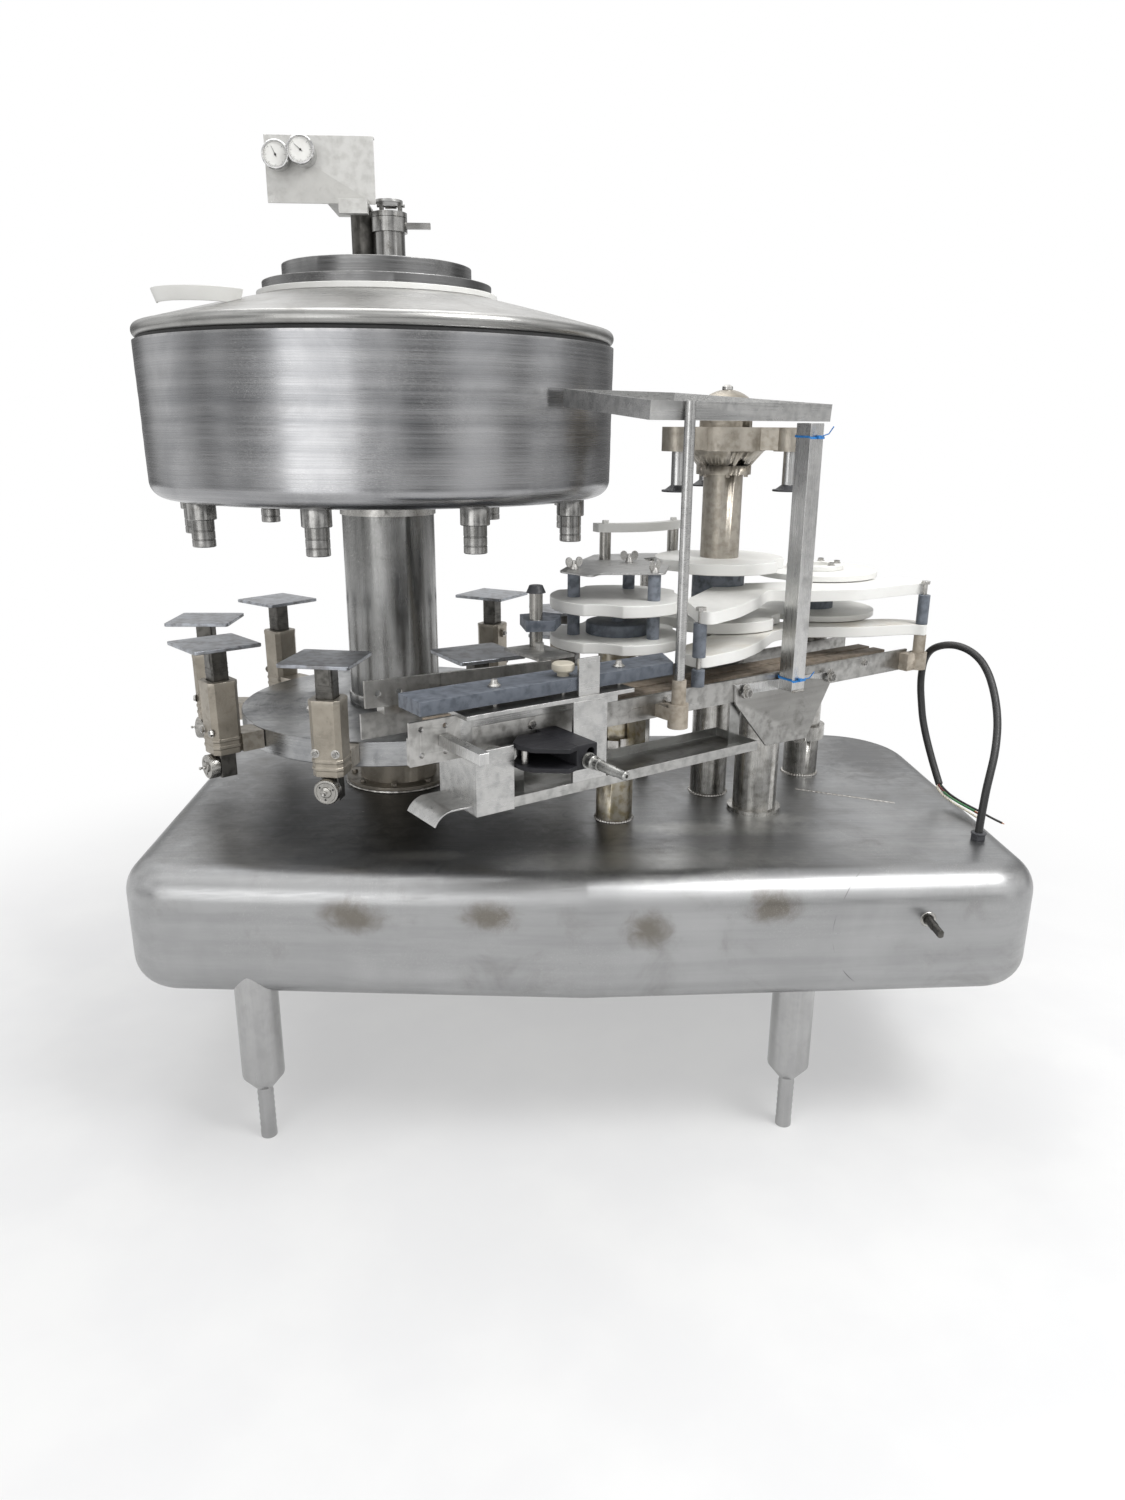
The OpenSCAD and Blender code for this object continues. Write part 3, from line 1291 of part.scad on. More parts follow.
base_housing();
base_floor();
legs();
gearmotor();
hub_bearing();
support_columns();
side_rails();
chain_strips();
drip_pan();
infeed_bracket();
guide_bar();
wear_rail();
fork_bracket();
guide_plate_lower();
guide_plate_upper();
guide_spacers();
guide_bolts();
rear_guide();
rear_plate();
finger_guide();
mast_bracket();
cap_tray();
rail_clamps();
power_cable();
cable_conductors();
top_cover();
centre_standpipe();
inlet_tube();
inlet_flap();
gauge_panel();
gauges();
turntable_disc();
column();
bowl();
bowl_lid();
filling_nozzles();
pedestal_housings();
main_gear();
drive_pinion();
idler_gear();
transfer_star();
transfer_drive();
capper_head();
capper_star();
capper_drive();
discharge_star();
discharge_drive();
crank_stub();
plunger(1);  // capper_plunger_1
plunger(2);  // capper_plunger_2
plunger(3);  // capper_plunger_3
platform(1);  // platform_1
platform(2);  // platform_2
platform(3);  // platform_3
platform(4);  // platform_4
platform(5);  // platform_5
platform(6);  // platform_6
platform(7);  // platform_7
platform(8);  // platform_8
platform(9);  // platform_9
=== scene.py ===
"""Dresses the bottle filling machine: its surfaces, finishes, lamps, floor and camera.

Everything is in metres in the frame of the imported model: +Z up, +Y to the back,
the origin on the floor between the four feet.
"""
import json
import logging
import math
from dataclasses import dataclass, field, replace
from enum import Enum

import bmesh
import bpy
import numpy as np
from mathutils import Matrix


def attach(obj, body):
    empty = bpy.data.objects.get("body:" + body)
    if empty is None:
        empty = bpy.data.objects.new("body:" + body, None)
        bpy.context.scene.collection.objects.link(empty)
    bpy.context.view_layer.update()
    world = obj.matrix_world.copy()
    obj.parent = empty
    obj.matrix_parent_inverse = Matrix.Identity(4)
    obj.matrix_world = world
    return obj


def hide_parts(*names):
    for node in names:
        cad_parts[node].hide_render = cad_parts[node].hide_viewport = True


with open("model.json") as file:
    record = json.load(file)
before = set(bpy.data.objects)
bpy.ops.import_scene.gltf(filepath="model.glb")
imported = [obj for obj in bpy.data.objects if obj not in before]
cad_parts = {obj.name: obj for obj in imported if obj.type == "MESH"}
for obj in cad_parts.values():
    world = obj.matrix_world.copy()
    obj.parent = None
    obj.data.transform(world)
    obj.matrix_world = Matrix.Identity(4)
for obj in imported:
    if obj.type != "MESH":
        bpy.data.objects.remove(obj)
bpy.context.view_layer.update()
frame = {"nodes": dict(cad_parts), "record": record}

LOG = logging.getLogger("filler")
NODES = frame["nodes"]
BODY_OF = {n: b for b, members in frame["record"]["behaviour"]["bodies"].items() for n in members}
SLOT_OF = {s["node"]: s["material_slot"] for s in frame["record"]["subparts"]}

TABLE = (-0.323, 0.160)
STAR = (0.200, -0.145)
CAPPER = (0.44704, 0.02993)
DISCHARGE = (0.71307, 0.17437)
PITCH_R = 0.45406
FIRST_STATION = -100.8
STATIONS = 9
LINE_TURN = 33.0
BASE_TOP = 0.638
Vec3 = tuple[float, float, float]
Vec2 = tuple[float, float]


# Surfaces


@dataclass
class Surface:
    """Points in space and the faces that join them."""

    points: np.ndarray
    faces: list[list[int]]

    def __add__(self, other: "Surface") -> "Surface":
        """Both surfaces as one."""
        shift = len(self.points)
        moved = [[i + shift for i in f] for f in other.faces]
        return Surface(np.vstack([self.points, other.points]), self.faces + moved)

    def moved(self, offset: Vec3 = (0.0, 0.0, 0.0), turn: float = 0.0) -> "Surface":
        """Turned about Z by turn degrees, then shifted by offset."""
        c, s = math.cos(math.radians(turn)), math.sin(math.radians(turn))
        spin = np.array([[c, -s, 0.0], [s, c, 0.0], [0.0, 0.0, 1.0]])
        return Surface(self.points @ spin.T + np.array(offset), self.faces)

    def laid(self, direction: Vec3, origin: Vec3) -> "Surface":
        """Stood with its own Z along direction and its own origin at origin."""
        z = np.array(direction, float)
        z /= np.linalg.norm(z)
        guide = np.array([0.0, 0.0, 1.0]) if abs(z[2]) < 0.9 else np.array([1.0, 0.0, 0.0])
        x = np.cross(guide, z)
        x /= np.linalg.norm(x)
        return Surface(self.points @ np.vstack([x, np.cross(z, x), z]) + np.array(origin), self.faces)


def join(surfaces: list[Surface]) -> Surface:
    """Several surfaces as one.

    Args:
        surfaces: the surfaces, at least one.

    Returns:
        One surface that holds them all.
    """
    total = surfaces[0]
    for surface in surfaces[1:]:
        total = total + surface
    return total


def grid_faces(nu: int, nv: int, wrap_u: bool, wrap_v: bool) -> list[list[int]]:
    """Quads over an nu by nv grid of points, numbered row by row.

    Args:
        nu: points along u.
        nv: points along v.
        wrap_u: whether the last row of u joins the first.
        wrap_v: whether the last column of v joins the first.

    Returns:
        The quads' point numbers.
    """
    i, j = np.meshgrid(np.arange(nu if wrap_u else nu - 1), np.arange(nv if wrap_v else nv - 1), indexing="ij")
    i2, j2 = (i + 1) % nu, (j + 1) % nv
    return np.stack([i * nv + j, i2 * nv + j, i2 * nv + j2, i * nv + j2], -1).reshape(-1, 4).tolist()


def lathe(profile: list[Vec2] | np.ndarray, centre: Vec2 = (0.0, 0.0), sides: int = 96,
          closed: bool = False) -> Surface:
    """A profile carried once round a standing axis.

    Point (u, v) is centre + r(v) * (cos u, sin u), at height z(v). An open profile starts
    and ends on the axis, where all its points meet in one pole; a closed one makes a ring.

    Args:
        profile: radius and height along v.
        centre: where the axis stands.
        sides: points round the axis.
        closed: whether the profile's end joins its start.

    Returns:
        The turned surface.
    """
    profile = np.asarray(profile, float)
    body = profile if closed else profile[1:-1]
    u = np.linspace(0.0, 2 * np.pi, sides, endpoint=False)[:, None]
    r, z = body[None, :, 0], body[None, :, 1]
    grid = np.stack([centre[0] + r * np.cos(u), centre[1] + r * np.sin(u), z + 0 * u], -1).reshape(-1, 3)
    faces = grid_faces(sides, len(body), True, closed)
    if closed:
        return Surface(grid, faces)
    low, high = len(grid), len(grid) + 1
    poles = [[centre[0], centre[1], profile[0, 1]], [centre[0], centre[1], profile[-1, 1]]]
    first = np.arange(sides) * len(body)
    second = np.roll(first, -1)
    faces += np.stack([np.full(sides, low), second, first], -1).tolist()
    top = len(body) - 1
    faces += np.stack([first + top, second + top, np.full(sides, high)], -1).tolist()
    return Surface(np.vstack([grid, poles]), faces)


def drum(radius: float, low: float, high: float, centre: Vec2 = (0.0, 0.0), sides: int = 48,
         soft: float = 0.0) -> Surface:
    """A closed cylinder whose two rims are cut back by soft.

    Args:
        radius: its radius.
        low: height of its foot.
        high: height of its head.
        centre: where it stands.
        sides: points round it.
        soft: size of the chamfer on both rims.

    Returns:
        The cylinder.
    """
    if soft <= 0:
        return lathe([(0, low), (radius, low), (radius, high), (0, high)], centre, sides)
    return lathe([(0, low), (radius - soft, low), (radius - soft * 0.3, low + soft * 0.3), (radius, low + soft),
                  (radius, high - soft), (radius - soft * 0.3, high - soft * 0.3), (radius - soft, high),
                  (0, high)],
                 centre, sides)


def tube(path: list[Vec3] | np.ndarray, radius: float | np.ndarray, sides: int = 12,
         guide: Vec3 = (1.0, 0.0, 0.0)) -> Surface:
    """A round section carried along a path, with both ends closed.

    At point u of the path the section's first side is the guide direction less its part
    along the path, and its second is square to both; point v of the section is
    path + radius * (cos v * first + sin v * second).

    Args:
        path: the points that it follows.
        radius: one radius, or one for each point.
        sides: points round the section.
        guide: a direction the path never runs along.

    Returns:
        The tube.
    """
    path = np.asarray(path, float)
    along = np.gradient(path, axis=0)
    along /= np.linalg.norm(along, axis=1, keepdims=True)
    g = np.asarray(guide, float)
    first = g - along * (along @ g)[:, None]
    first /= np.linalg.norm(first, axis=1, keepdims=True)
    second = np.cross(along, first)
    v = np.linspace(0.0, 2 * np.pi, sides, endpoint=False)
    r = np.broadcast_to(np.asarray(radius, float), (len(path),))[:, None, None]
    ring = first[:, None] * np.cos(v)[None, :, None] + second[:, None] * np.sin(v)[None, :, None]
    points = (path[:, None] + r * ring).reshape(-1, 3)
    faces = grid_faces(len(path), sides, False, True)
    last = (len(path) - 1) * sides
    faces += [list(range(sides))[::-1], list(range(last, last + sides))]
    return Surface(points, faces)


def prism(outline: np.ndarray | list[Vec2], low: float, high: float) -> Surface:
    """A flat outline carried straight up from low to high, with both faces closed.

    Args:
        outline: its corners in order.
        low: height of the lower face.
        high: height of the upper face.

    Returns:
        The prism.
    """
    flat = np.asarray(outline, float)
    n = len(flat)
    points = np.vstack([np.column_stack([flat, np.full(n, low)]), np.column_stack([flat, np.full(n, high)])])
    i = np.arange(n)
    j = (i + 1) % n
    sides = np.stack([i, j, j + n, i + n], -1).tolist()
    return Surface(points, sides + [list(range(n))[::-1], list(range(n, 2 * n))])


def block(low: Vec3, high: Vec3) -> Surface:
    """A box between two corners."""
    (x0, y0, z0), (x1, y1, z1) = low, high
    return prism([(x0, y0), (x1, y0), (x1, y1), (x0, y1)], z0, z1)


def slab(s0: float, s1: float, n0: float, n1: float, z0: float, z1: float) -> Surface:
    """A box in the conveyor's frame: s along it, n towards its front, both in metres."""
    return block((s0, -n1, z0), (s1, -n0, z1)).moved(turn=LINE_TURN)


def bent_sheet(section: np.ndarray, n0: float, n1: float) -> Surface:
    """A sheet bent along the conveyor: its section in s and z, carried square to it from n0 to n1.

    Args:
        section: the section's corners as rows of s and z.
        n0: where the sheet starts.
        n1: where it ends.

    Returns:
        The sheet.
    """
    flat = prism(section, n0, n1)
    s, z, n = flat.points.T
    return Surface(np.column_stack([s, -n, z]), flat.faces).moved(turn=LINE_TURN)


def line_point(s: float, n: float, z: float) -> Vec3:
    """A place given in the conveyor's frame."""
    a = math.radians(LINE_TURN)
    return (s * math.cos(a) + n * math.sin(a), s * math.sin(a) - n * math.cos(a), z)


def line_axis() -> Vec3:
    """The direction square to the conveyor's front, outwards."""
    a = math.radians(LINE_TURN)
    return (math.sin(a), -math.cos(a), 0.0)


def round_rect(width: float, depth: float, radius: float, steps: int = 6) -> np.ndarray:
    """An outline with four round corners, centred: a quarter circle at each corner in turn."""
    a = np.linspace(0, np.pi / 2, steps)
    cx, cy = width / 2 - radius, depth / 2 - radius
    corners = [(cx, cy, 0.0), (-cx, cy, np.pi / 2), (-cx, -cy, np.pi), (cx, -cy, 3 * np.pi / 2)]
    return np.vstack([np.column_stack([x + radius * np.cos(a + t), y + radius * np.sin(a + t)])
                      for x, y, t in corners])


def along_curve(points: list[Vec3] | np.ndarray, steps: int = 6) -> np.ndarray:
    """A smooth open curve through points in space: a Catmull-Rom cubic in each span, with mirrored ends."""
    p = np.asarray(points, float)
    p = np.vstack([2 * p[0] - p[1], p, 2 * p[-1] - p[-2]])
    t = np.linspace(0, 1, steps, endpoint=False)[None, :, None]
    a, b, c, d = (q[:, None] for q in (p[:-3], p[1:-2], p[2:-1], p[3:]))
    curve = 0.5 * (2 * b + (c - a) * t + (2 * a - 5 * b + 4 * c - d) * t**2 + (3 * b - a - 3 * c + d) * t**3)
    return np.vstack([curve.reshape(-1, 3), p[-2]])


def hex_head(radius: float, height: float) -> Surface:
    """A hexagon bolt head: a crowned cap over six flats, standing on Z = 0."""
    a = np.arange(6) * np.pi / 3
    flat = np.column_stack([np.cos(a), np.sin(a)])
    edge = height * 0.98
    cap = lathe([(0, edge), (radius * 0.86, edge), (radius * 0.8, height), (0, height)], sides=24)
    washer = drum(radius * 1.25, 0.0, height * 0.18, sides=24, soft=height * 0.05)
    return prism(flat * radius, height * 0.15, height) + washer + cap


def weld_ring(radius: float, height: float, centre: Vec2, size: float = 0.005) -> Surface:
    """A weld bead round a post.

    The section is a circle of size that swells and shrinks as the absolute sine of
    forty turns a lap, carried round at the given radius.

    Args:
        radius: radius of the post.
        height: height of the plate.
        centre: the post's place.
        size: radius of the bead.

    Returns:
        The bead.
    """
    u = np.linspace(0, 2 * np.pi, 160, endpoint=False)[:, None]
    v = np.linspace(0, 2 * np.pi, 8, endpoint=False)[None, :]
    r = size * (0.8 + 0.35 * np.abs(np.sin(20 * u)) + 0.1 * np.sin(7 * u + 1.0))
    across = radius + r * np.cos(v)
    points = np.stack([centre[0] + across * np.cos(u), centre[1] + across * np.sin(u), height + r * np.sin(v)], -1)
    return Surface(points.reshape(-1, 3), grid_faces(160, 8, True, True))


def weld_line(start: Vec3, end: Vec3, size: float = 0.004) -> Surface:
    """A straight weld bead: a tube whose radius ripples as the absolute sine of its length."""
    t = np.linspace(0, 1, max(12, int(math.dist(start, end) / 0.0016)))
    path = np.array(start)[None] + t[:, None] * (np.array(end) - np.array(start))[None]
    radius = size * (0.75 + 0.3 * np.abs(np.sin(t * math.dist(start, end) / 0.004)))
    radius[[0, -1]] *= 0.4
    guide = (0.0, 0.0, 1.0) if abs(end[2] - start[2]) < 0.5 * math.dist(start, end) else (1.0, 0.0, 0.0)
    return tube(path, radius, 8, guide)


def wing_nut(size: float = 0.009) -> Surface:
    """A wing nut: a waisted boss with two flat ears that lean outwards, standing on Z = 0."""
    boss = lathe(np.array([(0, 0), (1, 0), (0.95, 0.3), (0.6, 1.1), (0, 1.1)]) * size, sides=20)
    a = np.linspace(0, 2 * np.pi, 18, endpoint=False)
    ear = np.column_stack([np.cos(a) * size * 0.85 * (1 + 0.15 * np.sin(a)), np.sin(a) * size * 1.15])
    leaf = prism(ear, -size * 0.16, size * 0.16)
    stem = drum(size * 0.42, -0.001, size * 1.9, sides=12, soft=0.0004)
    ears = [leaf.laid((0, -1, 0), (side * size * 1.35, 0, size * 1.55)) for side in (-1, 1)]
    return join([boss, stem, *ears])


def grease_nipple() -> Surface:
    """A small ball-headed nipple, standing on Z = 0."""
    return lathe([(0, 0), (0.0045, 0), (0.0045, 0.004), (0.0025, 0.006), (0.0025, 0.009), (0.0036, 0.011),
                  (0.0026, 0.0135), (0, 0.0142)], sides=12)


# Finishes


class Grain(Enum):
    """How a surface was worked, which sets the way its fine lines run."""

    TURNED = "rings round a standing axis"
    ALONG_LINE = "lines along the conveyor"
    ALONG_X = "lines from left to right"
    UPRIGHT = "lines up and down"
    CAST = "no lines, a sandy skin"


class Board:
    """A node tree while it is being wired."""

    def __init__(self, tree: bpy.types.NodeTree) -> None:
        """Starts on an empty tree."""
        self.tree = tree
        tree.nodes.clear()

    def add(self, kind: str, values: dict | None = None, **settings: object) -> bpy.types.Node:
        """Adds a node.

        Args:
            kind: the node's type.
            values: what goes to each input, a socket or a plain value.
            settings: the node's own properties.

        Returns:
            The node.
        """
        node = self.tree.nodes.new(kind)
        for name, value in settings.items():
            setattr(node, name, value)
        for name, value in (values or {}).items():
            self.put(value, node.inputs[name])
        return node

    def put(self, value: object, socket: bpy.types.NodeSocket) -> None:
        """Links a socket, or sets a plain value."""
        if isinstance(value, bpy.types.NodeSocket):
            self.tree.links.new(value, socket)
        else:
            socket.default_value = value

    def sum(self, operation: str, a: object, b: object = 0.0) -> bpy.types.NodeSocket:
        """One step of arithmetic on two numbers."""
        return self.add("ShaderNodeMath", {0: a, 1: b}, operation=operation).outputs[0]

    def mix(self, share: object, a: object, b: object) -> bpy.types.NodeSocket:
        """Colour a where share is 0 and b where it is 1."""
        node = self.add("ShaderNodeMix", data_type="RGBA")
        self.put(share, node.inputs[0])
        self.put(a, node.inputs[6])
        self.put(b, node.inputs[7])
        return node.outputs[2]

    def ramp(self, value: object, low: float, high: float, to_low: float = 0.0,
             to_high: float = 1.0) -> bpy.types.NodeSocket:
        """A value carried smoothly from one span to another."""
        node = self.add("ShaderNodeMapRange", interpolation_type="SMOOTHSTEP")
        for k, v in enumerate((value, low, high, to_low, to_high)):
            self.put(v, node.inputs[k])
        return node.outputs[0]

    def noise(self, vector: object, scale: float, detail: float = 3.0, rough: float = 0.5,
              distortion: float = 0.0) -> bpy.types.NodeSocket:
        """A noise value from 0 to 1."""
        return self.add("ShaderNodeTexNoise", {"Vector": vector, "Scale": scale, "Detail": detail,
                                               "Roughness": rough, "Distortion": distortion}).outputs[0]

    def group(self, name: str, values: dict) -> bpy.types.Node:
        """Places a shared effect."""
        node = self.tree.nodes.new("ShaderNodeGroup")
        node.node_tree = EFFECTS.get(name)
        for key, value in values.items():
            self.put(value, node.inputs[key])
        return node


@dataclass
class Effects:
    """The shared effects, each built once as a node group."""

    built: dict[str, bpy.types.NodeTree] = field(default_factory=dict)

    def get(self, name: str) -> bpy.types.NodeTree:
        """The group of that name, built on first use."""
        if name not in self.built:
            self.built[name] = getattr(self, name)()
        return self.built[name]

    @staticmethod
    def start(name: str, inputs: dict[str, object],
              outputs: list[str]) -> tuple[Board, bpy.types.Node, bpy.types.Node]:
        """Opens a group.

        Args:
            name: the group's name.
            inputs: each input with its first value; None makes a vector.
            outputs: the names of its values.

        Returns:
            The board, the group's input node and its output node.
        """
        tree = bpy.data.node_groups.new(name, "ShaderNodeTree")
        for key, value in inputs.items():
            kind = "NodeSocketVector" if value is None or isinstance(value, tuple) else "NodeSocketFloat"
            socket = tree.interface.new_socket(key, in_out="INPUT", socket_type=kind)
            if value is not None:
                socket.default_value = value
        for key in outputs:
            tree.interface.new_socket(key, in_out="OUTPUT", socket_type="NodeSocketFloat")
        board = Board(tree)
        return board, board.add("NodeGroupInput"), board.add("NodeGroupOutput")

    def turned_marks(self) -> bpy.types.NodeTree:
        """Rings left by a lathe: noise read at (distance from the axis, height), stretched round the axis."""
        b, i, o = self.start("turned_marks", {"Vector": None, "Fineness": 400.0}, ["Fine", "Broad"])
        xyz = b.add("ShaderNodeSeparateXYZ", {0: i.outputs[0]})
        flat = b.sum("SQRT", b.sum("ADD", b.sum("MULTIPLY", xyz.outputs[0], xyz.outputs[0]),
                                   b.sum("MULTIPLY", xyz.outputs[1], xyz.outputs[1])))
        wander = b.sum("MULTIPLY", b.noise(i.outputs[0], 2.2, 2.0), 0.012)
        place = b.add("ShaderNodeCombineXYZ", {0: b.sum("ADD", flat, wander),
                                               1: b.sum("ADD", xyz.outputs[2], wander)})
        fine = b.add("ShaderNodeTexNoise", {"Vector": place.outputs[0], "Scale": i.outputs[1], "Detail": 2.0})
        broad = b.add("ShaderNodeTexNoise", {"Vector": place.outputs[0],
                                             "Scale": b.sum("DIVIDE", i.outputs[1], 11.0),
                                             "Detail": 3.0, "Roughness": 0.65})
        b.put(fine.outputs[0], o.inputs[0])
        b.put(broad.outputs[0], o.inputs[1])
        return b.tree

    def brushed_lines(self) -> bpy.types.NodeTree:
        """Lines of a brushed sheet: noise read on space squeezed across the lines."""
        b, i, o = self.start("brushed_lines", {"Vector": None, "Fineness": 400.0}, ["Fine", "Broad"])
        fine = b.add("ShaderNodeTexNoise", {"Vector": i.outputs[0], "Scale": i.outputs[1], "Detail": 3.0})
        broad = b.add("ShaderNodeTexNoise", {"Vector": i.outputs[0], "Scale": b.sum("DIVIDE", i.outputs[1], 9.0),
                                             "Detail": 3.0, "Roughness": 0.6})
        b.put(fine.outputs[0], o.inputs[0])
        b.put(broad.outputs[0], o.inputs[1])
        return b.tree

    def blotches(self) -> bpy.types.NodeTree:
        """Soft-edged patches: noise lifted between two levels."""
        b, i, o = self.start("blotches", {"Vector": None, "Scale": 5.0, "Low": 0.45, "High": 0.6}, ["Mask"])
        n = b.add("ShaderNodeTexNoise", {"Vector": i.outputs[0], "Scale": i.outputs[1], "Detail": 6.0,
                                         "Roughness": 0.62, "Distortion": 0.5})
        b.put(b.ramp(n.outputs[0], i.outputs[2], i.outputs[3]), o.inputs[0])
        return b.tree

    def worn_edges(self) -> bpy.types.NodeTree:
        """Bare bright edges: the surface's own sharpness, broken up by noise."""
        b, i, o = self.start("worn_edges", {"Vector": None, "Amount": 0.5}, ["Mask"])
        sharp = b.ramp(b.add("ShaderNodeNewGeometry").outputs["Pointiness"], 0.51, 0.58)
        broken = b.ramp(b.noise(i.outputs[0], 60.0, 4.0), 0.3, 0.62)
        b.put(b.sum("MULTIPLY", b.sum("MULTIPLY", sharp, broken), i.outputs[1]), o.inputs[0])
        return b.tree

    def settled_dirt_and_shade(self) -> bpy.types.NodeTree:
        """Dirt that lies on upward faces: the normal's rise, times patches; on the greyed white plastic it is also
        a painted shade.
        """
        b, i, o = self.start("settled_dirt_and_shade", {"Vector": None, "Scale": 8.0}, ["Mask"])
        up = b.add("ShaderNodeSeparateXYZ", {0: b.add("ShaderNodeNewGeometry").outputs["Normal"]})
        rise = b.ramp(up.outputs[2], 0.45, 0.95)
        n = b.add("ShaderNodeTexNoise", {"Vector": i.outputs[0], "Scale": i.outputs[1], "Detail": 7.0,
                                         "Roughness": 0.65, "Distortion": 0.8})
        b.put(b.sum("MULTIPLY", rise, b.ramp(n.outputs[0], 0.32, 0.66)), o.inputs[0])
        return b.tree

    def scratches(self) -> bpy.types.NodeTree:
        """Fine crossing scratches: the thin ridges of two long stretched noises."""
        b, i, o = self.start("scratches", {"Vector": None, "Scale": 18.0}, ["Mask"])
        lines = []
        for turn, squeeze in ((0.5, 14.0), (-0.9, 18.0)):
            spun = b.add("ShaderNodeVectorRotate", {"Vector": i.outputs[0], "Angle": turn}, rotation_type="X_AXIS")
            spun = b.add("ShaderNodeVectorRotate", {"Vector": spun.outputs[0], "Angle": turn * 1.7},
                         rotation_type="Z_AXIS")
            thin = b.add("ShaderNodeVectorMath", {0: spun.outputs[0], 1: (1.0, squeeze, squeeze)},
                         operation="MULTIPLY")
            n = b.add("ShaderNodeTexNoise", {"Vector": thin.outputs[0], "Scale": i.outputs[1], "Detail": 1.0})
            lines.append(b.ramp(b.sum("ABSOLUTE", b.sum("SUBTRACT", n.outputs[0], 0.5)), 0.0, 0.012, 1.0, 0.0))
        gate = b.ramp(b.noise(i.outputs[0], 7.0, 2.0), 0.48, 0.62)
        b.put(b.sum("MULTIPLY", b.sum("MAXIMUM", lines[0], lines[1]), gate), o.inputs[0])
        return b.tree

    def patch(self) -> bpy.types.NodeTree:
        """A soft patch at one place, for rubbed marks, painted shadows and painted highlights: distance from its
        centre in shares of its size, frayed by noise.
        """
        b, i, o = self.start("patch", {"Vector": None, "Centre": (0.0, 0.0, 0.0), "Size": (0.05, 0.05, 0.05)},
                             ["Mask"])
        away = b.add("ShaderNodeVectorMath", {0: i.outputs[0], 1: i.outputs[1]}, operation="SUBTRACT")
        share = b.add("ShaderNodeVectorMath", {0: away.outputs[0], 1: i.outputs[2]}, operation="DIVIDE")
        far = b.add("ShaderNodeVectorMath", {0: share.outputs[0]}, operation="LENGTH")
        fray = b.sum("MULTIPLY", b.sum("SUBTRACT", b.noise(i.outputs[0], 24.0, 5.0, 0.6, 1.0), 0.5), 1.1)
        b.put(b.ramp(b.sum("ADD", far.outputs["Value"], fray), 0.2, 1.2, 1.0, 0.0), o.inputs[0])
        return b.tree

    def ring_mark(self) -> bpy.types.NodeTree:
        """A thin circle scratched on a face: distance from its centre close to its radius."""
        b, i, o = self.start("ring_mark", {"Vector": None, "Centre": (0.0, 0.0, 0.0), "Radius": 0.1}, ["Mask"])
        away = b.add("ShaderNodeVectorMath", {0: i.outputs[0], 1: i.outputs[1]}, operation="DISTANCE")
        off = b.sum("ABSOLUTE", b.sum("SUBTRACT", away.outputs["Value"], i.outputs[2]))
        gate = b.ramp(b.noise(i.outputs[0], 9.0, 2.0), 0.4, 0.52)
        b.put(b.sum("MULTIPLY", b.ramp(off, 0.0, 0.0016, 1.0, 0.0), gate), o.inputs[0])
        return b.tree


EFFECTS = Effects()


